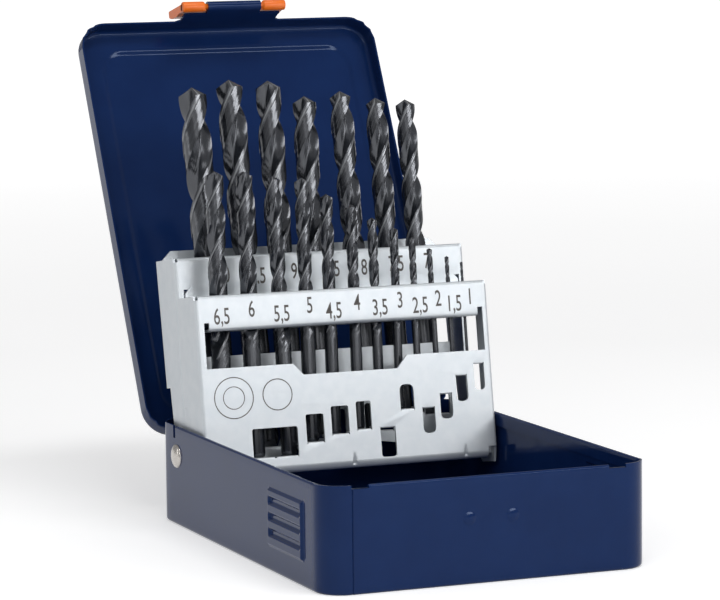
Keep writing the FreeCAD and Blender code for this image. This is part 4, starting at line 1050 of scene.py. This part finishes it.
def front_section():
    cheek_turn = BEND * RIGHT_ANGLE
    cheek = [(BEND, 90), (0, FRONT_FACE - BEND - REAR_FACE - 0.1)]
    flange = [(BEND, 90), (0, LAP)]
    shelf = [(BEND, 90), (0, FRONT_FACE - BEND - REAR_FACE - 0.05 - RACK_SHEET - 0.4), (0.4, -90), (0, 3.2)]
    foot = [(FOOT_BEND, 90), (0, 9.3)]
    side, top, bottom = WALL - BEND, FRONT_TOP - BEND, -8.0 + FOOT_BEND
    shelf_flap = flap("v", top, 1, -side, side, shelf)
    guide_flap = guide_shelf(FRONT_GUIDE, 11.8, 12.4)
    flaps = [flap("x", -side, -1, -20, 60, cheek), flap("x", side, 1, -20, 60, flange), shelf_flap,
             flap("v", bottom, -1, -49.4, 49.4, foot), guide_flap]
    left_end, lap_end = side + path_length(cheek), side + cheek_turn + LAP
    flange_end = side + cheek_turn + 7.9
    shelf_end, foot_end = top + path_length(shelf), bottom - path_length(foot)
    corner_x = side + cheek_turn + 1.2
    ear = [(FOOT_HALF, -4.2), (side, -4.2), (side + 1.9, -4.6), (corner_x, -9.6), (lap_end - 2.9, -9.6),
           (lap_end, -6.5)]
    head = [(side + 2.0, FRONT_TOP), (side + 1.8, top - 0.1), (side, top - 0.1), (side - 0.1, top),
            (side - 0.1, shelf_end - 4.0), (SHELF_HALF, shelf_end - 3.7), (SHELF_HALF, shelf_end - 2.0),
            (SHELF_HALF - 1.8, shelf_end)]
    outline = [(-FOOT_HALF, foot_end), (FOOT_HALF, foot_end), *ear, (lap_end, 10.7), (flange_end, 12.7),
               (flange_end, FRONT_TOP), *head, *mirrored(head), (-left_end, FRONT_TOP), (-left_end, 15.75),
               (-lap_end, 15.75), *mirrored(ear)]
    sill = [(WINDOW_LEFT, SILL_LEFT), *DIP, (WINDOW_RIGHT, SILL_RIGHT)]
    holes = [wide_window(sill, guide_flap, FRONT_GUIDE + RELIEF_RISE)]
    holes += hole_loops(FRONT_ROW, FRONT_MIDDLE, cheek_turn + FRONT_FACE - BEND - FRONT_LINE, HOLE_GAP,
                        (FRONT_TOP, shelf_flap), (FRONT_GUIDE, guide_flap))
    lanced = [drill for drill in FRONT_ROW if drill.tab]
    cut_tabs([lanced[:2], *([drill] for drill in lanced[2:])], holes, flaps)
    piece = folded_sheet("rack_front_sheet", np.array(outline), holes, flaps, FRONT_FACE, DARTS)
    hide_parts("rack_front")
    print("front section faces:", len(piece.data.polygons))


front_section()

# %% [markdown]
# ## The rear section
#
# The rear section is a taller sheet folded the same way. It could be a stretched copy of
# the front, but then its bends would be stretched too, so it has a blank of its own. Its
# cheeks run to the rear and narrow towards the pivot, and below its label strip a wide
# window shows the shanks.

# %% Blank of the rear section
REAR_SILL = 32.3
SLOT_FOOT, SLOT_WIDE = 10.5, 4.0
LIP_REACH = 14.4
REAR_FOOT = -10.2
CHEEK_LOW = 13.0
SEAT_WINDOW = {"height": 9.5, "corner": 1.0, "tab": "below"}


def rear_section():
    side, top = WALL - BEND, REAR_TOP - BEND
    turn = BEND * RIGHT_ANGLE
    reach = REAR_FACE - BEND
    cheek = [(BEND, 90), (0, reach + LIP_REACH)]
    shelf = [(BEND, 90), (0, reach + LIP_REACH - RACK_SHEET - 0.4), (0.4, -90), (0, 2.9)]
    foot = [(BEND, 90), (0, reach + 9.7)]
    shelf_flap = flap("v", top, 1, -side, side, shelf)
    guide_flap = guide_shelf(REAR_GUIDE, reach + 10.94, 20.0)
    flaps = [flap("x", -side, -1, 0, 80, cheek), flap("x", side, 1, 0, 80, cheek), shelf_flap,
             flap("v", REAR_FOOT + BEND, -1, -51.2, -3.8, foot), guide_flap]

    def cheek_at(n):
        """Blank x of a place on the cheek, from its distance ahead of the pivot."""
        return side + turn + reach - n

    inner = WALL - 2 * RACK_SHEET - 0.2
    shelf_end = top + path_length(shelf)
    foot_end = REAR_FOOT + BEND - path_length(foot)
    right = [(inner, CHEEK_LOW), (side, CHEEK_LOW), (cheek_at(-7.4), CHEEK_LOW), (cheek_at(-8.4), 22.8),
             (cheek_at(-11.9), 22.8), (cheek_at(-12.0), 25.0), (cheek_at(-LIP_REACH), REAR_TOP),
             (side + 2.0, REAR_TOP), (side + 1.8, top - 0.1), (side, top - 0.1), (side - 0.1, top),
             (side - 0.1, shelf_end - 3.6), (side - 0.6, shelf_end - 3.3), (side - 4.0, shelf_end)]
    outline = [(-inner, foot_end), (-4.0, foot_end), (-4.0, -5.0), (inner, -5.0), *right, *mirrored(right)]
    slot = WINDOW_RIGHT - SLOT_WIDE
    sill = [(WINDOW_LEFT, REAR_SILL), (slot, REAR_SILL), (slot, SLOT_FOOT), (WINDOW_RIGHT, SLOT_FOOT)]
    holes = [wide_window(sill, guide_flap, REAR_GUIDE + REAR_RELIEF_RISE)]
    holes += hole_loops(REAR_ROW, REAR_MIDDLE, turn + reach - REAR_LINE, REAR_HOLE_GAP,
                        (REAR_TOP, shelf_flap), (REAR_GUIDE, guide_flap))
    cut_tabs([[drill._replace(middle=drill_x(drill, drill.seat, REAR_MIDDLE), width=drill.diameter + 2.4,
                              **SEAT_WINDOW)] for drill in REAR_ROW[1:]], holes, flaps)
    piece = folded_sheet("rack_rear_sheet", np.array(outline), holes, flaps, REAR_FACE)
    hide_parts("rack_rear")
    print("rear section faces:", len(piece.data.polygons))


rear_section()

# %% [markdown]
# ## Pivot ears, rivets and washers
#
# Below the cheeks both sections overlap in flat ears, and one rivet on each side goes
# through the tray's wall, a spacer washer and both ears. The ears could be flaps of the
# blanks as well, but nothing bends in them, so they are plain plates with a hole. Rivets
# and washers are round, and are turned from profiles.

# %% Ears
EAR_RADIUS, RIVET_HOLE = 6.5, 2.06
SIDES = ((-1, "left"), (1, "right"))


def flat_plate(name, outline, hole, outer_x, side):
    """A flat ear between outer_x and one sheet inwards; outline is (n ahead, height)."""
    flat, faces, rims = blank_parts(blank_work(np.asarray(outline, float), [hole]))
    near = np.stack([np.full(len(flat), side * outer_x), -flat[:, 0], flat[:, 1]], -1)
    two_skins(name, near, near - (side * RACK_SHEET, 0, 0), faces, rims)


def ears():
    hole = circle(0, 0, RIVET_HOLE)
    rear_ear = [(7.1, -8.0), (7.1, 15.7), (4.08, 15.7), (4.08, 13.0), (-7.4, 13.0), (-6.9, 9.9), (-6.5, 0.0),
                (-3.9, -6.5)]
    bottom = arc((0, 0), EAR_RADIUS, 270, 140, 24)
    front_ear = [(17.8, 9.7), (17.8, -6.5), *bottom, (-2.0, 6.2), (7.1, 9.7)]
    for side, word in SIDES:
        flat_plate("rack_rear_ear_" + word, rear_ear, hole, WALL, side)
        flat_plate("rack_front_ear_" + word, front_ear, hole, WALL - RACK_SHEET, side)


ears()
print("ears:", 2 * len(SIDES))

# %% Rivets and washers
HEAD_RADIUS, HEAD_TALL, RIVET_RADIUS = 4.0, 1.5, 2.0
TRAY_WALL_OUT, TRAY_WALL_IN = 55.0, 54.3


def rivets():
    tail, wall = WALL - 2 * RACK_SHEET - 0.1, TRAY_WALL_OUT
    low, high = WALL + 0.1, TRAY_WALL_IN
    dome = [(HEAD_RADIUS * math.cos(a), wall + HEAD_TALL * math.sin(a))
            for a in np.radians(np.linspace(8, 90, 12))]
    rivet = [(0, tail - 1.0), (1.5, tail - 1.0), (2.6, tail - 0.8), (3.1, tail - 0.4), (3.2, tail),
             (RIVET_RADIUS, tail), (RIVET_RADIUS, wall), (HEAD_RADIUS, wall), *dome]
    washer = [(RIVET_RADIUS, low), (4.4, low), (4.5, low + 0.1), (4.5, high - 0.1), (4.4, high),
              (RIVET_RADIUS, high), (RIVET_RADIUS, low)]
    for side, word in SIDES:
        for profile, name, material, slot in ((rivet, "rivet_", NICKEL, "nickel_rivet"),
                                              (washer, "washer_", ZINC, "zinc_plate")):
            points, faces = side_lathe(profile, 40, side)
            piece = mesh_piece(name + word, points + PIVOT * (0, 1, 1), faces, material, "tray")
            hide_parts("pivot_" + name + word)


rivets()
print("rivets and washers:", 2 * len(SIDES))

# %% [markdown]
# ## Twist drills
#
# A twist drill is one cross-section turned steadily as it climbs. The section has two
# lands, each with a narrow margin at full radius, and two flutes that go deep towards
# the core. A screw or twist modifier makes the spiral quickly, but the flutes also have
# to fade out into the plain shank and to end in a point, a 118 degree cone. So the radius
# is worked out for each angle and height.

# %% A drill's cross-section
FLUTE_LENGTHS = {1.0: 12, 1.5: 18, 2.0: 24, 2.5: 30, 3.0: 33, 3.5: 39, 4.0: 43, 4.5: 47, 5.0: 52, 5.5: 57,
                 6.0: 57, 6.5: 63, 7.0: 69, 7.5: 69, 8.0: 75, 8.5: 75, 9.0: 81, 9.5: 81, 10.0: 87}
HELIX = math.radians(30)
LAND_SHARE, MARGIN_SHARE, CLEARANCE = 0.48, 0.11, 0.05
CORE_DEPTH = 0.66
MARGIN_STEP, FLUTE_SHAPE = 0.014, 0.7
RUN_OUT = 1.6                                   # diameters over which the flutes fade into the shank
POINT_RINGS = (0.8, 0.6, 0.4, 0.2, 0.0)
FLOW_RISE = 0.06                                # of the finish's pattern, in each diameter climbed
FLUTE_MIDDLE = math.radians(135)
# Columns of half a turn, closer where the section turns sharply
LAND_COLUMNS = (0.0, 0.035, 0.075, 0.11, 0.125, 0.20, 0.30, 0.40, 0.475)
FLUTE_COLUMNS = (0.482, 0.495, 0.52, 0.55, 0.585, 0.62, 0.65, 0.68, 0.71, 0.74, 0.77, 0.80, 0.83, 0.86, 0.89,
                 0.92, 0.945, 0.965, 0.98, 0.992)


def drill_section(angle, depth):
    """Radius share by angle: margin, backed-off land, then a flute of the given depth."""
    share = np.mod(angle, math.pi) / math.pi
    back = CLEARANCE * smooth_step(share, MARGIN_SHARE, MARGIN_SHARE + MARGIN_STEP)
    flute = np.clip((share - LAND_SHARE) / (1 - LAND_SHARE), 0, 1)
    hollow = np.sin(np.pi * flute) ** FLUTE_SHAPE * CORE_DEPTH
    return 1 - depth * np.maximum(back * (flute <= 0), hollow + CLEARANCE * (flute > 0) * (1 - flute))


print("core", round(1 - CORE_DEPTH, 2), "of the diameter")

# %% Rows of the drill and how its surface is marked
def drill_grid(diameter, length, flute_turn):
    """Rows climb the shank and flutes and close over the point; columns go round.

    flute_turn is the direction of a flute's middle at the height where the flutes begin.
    """
    radius = diameter / 2
    flute = FLUTE_LENGTHS[diameter]
    pitch = math.pi * diameter / math.tan(HELIX)
    half = np.array(LAND_COLUMNS + FLUTE_COLUMNS) * math.pi
    angle = np.concatenate([half, half + math.pi])[None, :]
    start = length - flute
    fine = 16 if diameter < 3 else 36
    climb = np.linspace(start, length, int(fine * flute / pitch) + 8)
    rows = np.concatenate([[start - 0.4 * diameter], climb])[:, None]
    depth = smooth_step(rows, start, start + RUN_OUT * diameter)
    share = drill_section(angle, depth)
    top = length - radius * share[-1:] / math.tan(POINT_HALF_ANGLE)
    height = np.minimum(rows, top)
    twist = 2 * math.pi * (height - start - radius) / pitch + flute_turn - FLUTE_MIDDLE
    shank = [(0.0, 0.0), (radius * 0.82, 0.0), (radius * 0.97, 0.25 * radius), (radius, 0.5 * radius),
             (radius, start - 0.5 * diameter)]

    def ring(reach, spin, level):
        """Rows of the grid round the axis, where reach may change from column to column."""
        return np.stack(np.broadcast_arrays(reach * np.cos(spin), reach * np.sin(spin), level), -1)

    base = [ring(reach, angle[0] + twist[0], level) for reach, level in shank]
    point = [ring(reach, angle[0] + twist[-1], length - reach / math.tan(POINT_HALF_ANGLE))
             for reach in (radius * share[-1] * scale for scale in POINT_RINGS)]
    return np.concatenate([base, ring(radius * share, angle + twist, height), point])


def drill_marks(grid, drill):
    """The grinding pattern climbs along lands and flutes; the margins get a painted highlight."""
    share = np.array((LAND_COLUMNS + FLUTE_COLUMNS) * 2)
    angle = (share + np.repeat((0, 1), share.size // 2)) * math.pi
    height = grid[..., 2]
    # The margins are marked for a painted highlight, a lighter colour in the finish.
    margin_highlight_paint = (share > 0.05) & (share < MARGIN_SHARE) & (height > drill.length - FLUTE_LENGTHS[drill.diameter])
    flow = np.broadcast_arrays(np.cos(angle), np.sin(angle), FLOW_RISE * height / drill.diameter)
    return {"flow": np.stack(flow, -1), "margin_highlight_paint": margin_highlight_paint.astype(float)}

# %% Standing the drills in the rack
def place_drill(grid, drill, line, middle):
    """Stands a drill on its seat, leaning in the rack's frame about its place at middle."""
    lean = math.radians(drill.lean)
    x, y, z = np.moveaxis(grid, -1, 0)
    z = z + drill.seat + SEAT_GAP - middle
    return np.stack([drill.x + x * math.cos(lean) + z * math.sin(lean), y - line,
                     middle - x * math.sin(lean) + z * math.cos(lean)], -1)


def drills():
    total = 0
    for row, line, middle in ((FRONT_ROW, FRONT_LINE, FRONT_MIDDLE), (REAR_ROW, REAR_LINE, REAR_MIDDLE)):
        for drill in row:
            grid = drill_grid(drill.diameter, drill.length, math.radians(drill.turn))
            points = on_rack(place_drill(grid, drill, line, middle)).reshape(-1, 3)
            faces = grid_faces(*grid.shape[:2], False, True)
            piece = mesh_piece("twist_drill_" + tag(drill), points, faces, OXIDE, "rack",
                               marks=drill_marks(grid, drill))
            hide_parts("drill_" + tag(drill))
            total += len(piece.data.polygons)
    print("drill faces:", total)


drills()

# %% [markdown]
# ## Printing on the rack
#
# Sizes are printed in a narrow grey face on the label strips, with two plain rings below
# them. An image would have to be unwrapped onto the plate and would blur from close by,
# so the print is outline type made into a mesh. It is a hair thick, and so a closed shape
# that lies on the plate.

# %% Numbers and rings
DIGIT_SIZE, DIGIT_NARROW = 7.7, 0.63
PRINT_THICK = 0.012
# The middle of each size, across and up, in the order of the drill rows
FRONT_LABELS = ((-43.5, 44.9), (-32.9, 46.8), (-22.3, 44.7), (-12.2, 46.9), (-3.6, 44.6), (4.9, 46.9),
                (13.1, 44.8), (20.5, 46.8), (27.8, 44.7), (34.5, 46.6), (40.2, 44.6), (46.2, 46.6))
REAR_LABELS = ((-35.6, 59.2), (-23.2, 58.3), (-10.0, 59.2), (3.8, 59.2), (15.6, 59.2), (27.5, 59.8),
               (38.9, 60.2))


def lay_print(name, points, faces, x, height, face):
    """A flat print, drawn about its own middle, laid on a section's face."""
    placed = np.stack([points[:, 0] + x, -face - points[:, 2], points[:, 1] + height], -1)
    mesh_piece(name, on_rack(placed), faces, INK, "rack", smooth=False)


def printed_word(name, text, x, height, face):
    """A size in outline type, made a mesh first and then laid on its plate."""
    words = bpy.data.curves.new(name, "FONT")
    words.body = text
    words.size = DIGIT_SIZE
    words.align_x = words.align_y = "CENTER"
    words.extrude = PRINT_THICK
    words.offset = 0.05
    words.resolution_u = 4
    mesh = curve_mesh(name, words)
    flat = np.array([vert.co[:] for vert in mesh.vertices]) * (DIGIT_NARROW, 1, 1) + (0, 0, PRINT_THICK)
    faces = [list(polygon.vertices) for polygon in mesh.polygons]
    bpy.data.meshes.remove(mesh)
    lay_print(name, flat, faces, x, height, face)


def printed_ring(name, x, height, radius, width):
    low, high = radius - width / 2, radius + width / 2
    profile = [(low, 0), (high, 0), (high, 2 * PRINT_THICK), (low, 2 * PRINT_THICK), (low, 0)]
    lay_print(name, *lathe(profile, 72), x, height, FRONT_FACE)


for row, labels, face in ((FRONT_ROW, FRONT_LABELS, FRONT_FACE), (REAR_ROW, REAR_LABELS, REAR_FACE)):
    for drill, (x, height) in zip(row, labels):
        printed_word("size_" + tag(drill), drill.label, x, height, face)
printed_ring("ring_large", -41.2, 18.0, 6.8, 0.34)
printed_ring("ring_inner", -41.2, 18.0, 3.7, 0.28)
printed_ring("ring_small", -25.8, 18.2, 5.15, 0.34)
print("sizes printed:", len(FRONT_LABELS) + len(REAR_LABELS))

# %% [markdown]
# ## Floor and light
#
# The case stands on a pale floor in an even grey room. A picture of a room could light
# it, but lamps that are placed one by one put each highlight where it is wanted. Five
# soft ones stand in front, to the left and above, and show in the enamel and on the
# drills. The floor has a lift of its own that only a straight line of sight meets, so
# the ground looks white and still keeps the case's shadow.

# %% Floor and surround
def plain_sight(tree):
    """1 on a ray that the eye follows straight, by mirror or through, 0 on soft light."""
    path = add_node(tree, "LightPath", {})
    found = path.outputs["Is Camera Ray"]
    for kind in ("Is Glossy Ray", "Is Transmission Ray"):
        found = add_node(tree, "Math", {0: found, 1: path.outputs[kind]}, operation="MAXIMUM").outputs[0]
    return found


FLOOR_REACH = 15.0
LIFT_NEAR, LIFT_FAR = 0.42, 0.80
NEAR, FAR = 0.5, 2.0


def stage_floor():
    mesh = bpy.data.meshes.new("floor")
    corners = [(x * FLOOR_REACH, y * FLOOR_REACH, 0) for x, y in ((-1, -1), (1, -1), (1, 1), (-1, 1))]
    mesh.from_pydata(corners, [], [(0, 1, 2, 3)])
    floor = new_object("floor", mesh)
    finish, tree, shader = new_finish("pale_floor")
    far = add_node(tree, "VectorMath", {0: object_place(tree)}, operation="LENGTH").outputs["Value"]
    level = value_range(tree, far, LIFT_NEAR, LIFT_FAR, NEAR, FAR)
    lift = add_node(tree, "Math", {0: plain_sight(tree), 1: level}, operation="MULTIPLY")
    surface = {"Base Color": ramp(tree, noise(tree, 3), (0.80, 0.80, 0.805), (0.82, 0.82, 0.825)),
               "Roughness": 0.9, "Emission Color": (1, 1, 1, 1), "Emission Strength": lift.outputs[0]}
    for socket, value in surface.items():
        feed(tree, shader.inputs[socket], value)
    mesh.materials.append(finish)


def surround(level):
    """An even grey room all round, which fills shadows and shows dimly in the enamel."""
    world = bpy.data.worlds.new("surround")
    bpy.context.scene.world = world
    world.use_nodes = True
    background = world.node_tree.nodes["Background"]
    background.inputs["Color"].default_value = (1, 1, 1, 1)
    background.inputs["Strength"].default_value = level


def soft_box(name, place, target, width, height, power):
    """A rectangular lamp, in metres and watts, that faces a target."""
    lamp = bpy.data.lights.new(name, "AREA")
    lamp.shape = "RECTANGLE"
    lamp.size = width
    lamp.size_y = height
    lamp.energy = power
    box = new_object(name, lamp)
    box.location = place
    box.rotation_mode = "QUATERNION"
    box.rotation_quaternion = Vector(np.subtract(target, place)).to_track_quat("-Z", "Y")


bpy.context.scene.view_settings.view_transform = "Standard"
stage_floor()
surround(0.36)
soft_box("front_left", (-0.80, -0.90, 0.75), (0, 0, 0.08), 0.7, 0.4, 2.6)
soft_box("front_wide", (-0.30, -1.35, 0.32), (0, 0, 0.10), 1.0, 0.3, 1.0)
soft_box("left_window", (-1.0, 0.25, 0.45), (0, 0, 0.08), 0.3, 0.8, 1.2)
soft_box("high_window", (0.1, -0.35, 1.2), (0, 0, 0.05), 0.8, 0.25, 4.2)
soft_box("low_strip", (0.50, -1.0, 0.44), (0, 0.05, 0.08), 0.9, 0.18, 4.7)
print("lamps:", len(bpy.data.lights))

# %% [markdown]
# ## The camera
#
# A product is usually seen from a distance through a long lens, because then its edges
# hardly converge. The camera could be aimed with a constraint, but a constraint holds it
# level, so it is turned by a yaw, a pitch and a slight roll.

# %% Camera
CAMERA_PLACE = np.array([-439.718, -1047.09, 215.276]) * MM
CAMERA_YAW, CAMERA_PITCH, CAMERA_ROLL = np.radians([22.241, -6.829, -0.626])
CAMERA_LENS = 176.88


def look():
    """A long lens to the left of the case, turned and tilted by yaw, pitch and roll."""
    level = np.array([math.sin(CAMERA_YAW), math.cos(CAMERA_YAW), 0]) * math.cos(CAMERA_PITCH)
    ahead = level + (0, 0, math.sin(CAMERA_PITCH))
    right = np.array([math.cos(CAMERA_YAW), -math.sin(CAMERA_YAW), 0.0])
    up = np.cross(right, ahead)
    cos, sin = math.cos(CAMERA_ROLL), math.sin(CAMERA_ROLL)
    view = bpy.data.cameras.new("view")
    view.lens = CAMERA_LENS
    view.sensor_width = 36.0
    view.clip_end = 20.0
    camera = new_object("view", view)
    axes = np.column_stack([cos * right + sin * up, cos * up - sin * right, -ahead])
    camera.matrix_world = Matrix.Translation(CAMERA_PLACE.tolist()) @ Matrix(axes.tolist()).to_4x4()
    bpy.context.scene.camera = camera


look()
print("camera at", CAMERA_PLACE, "lens", CAMERA_LENS)
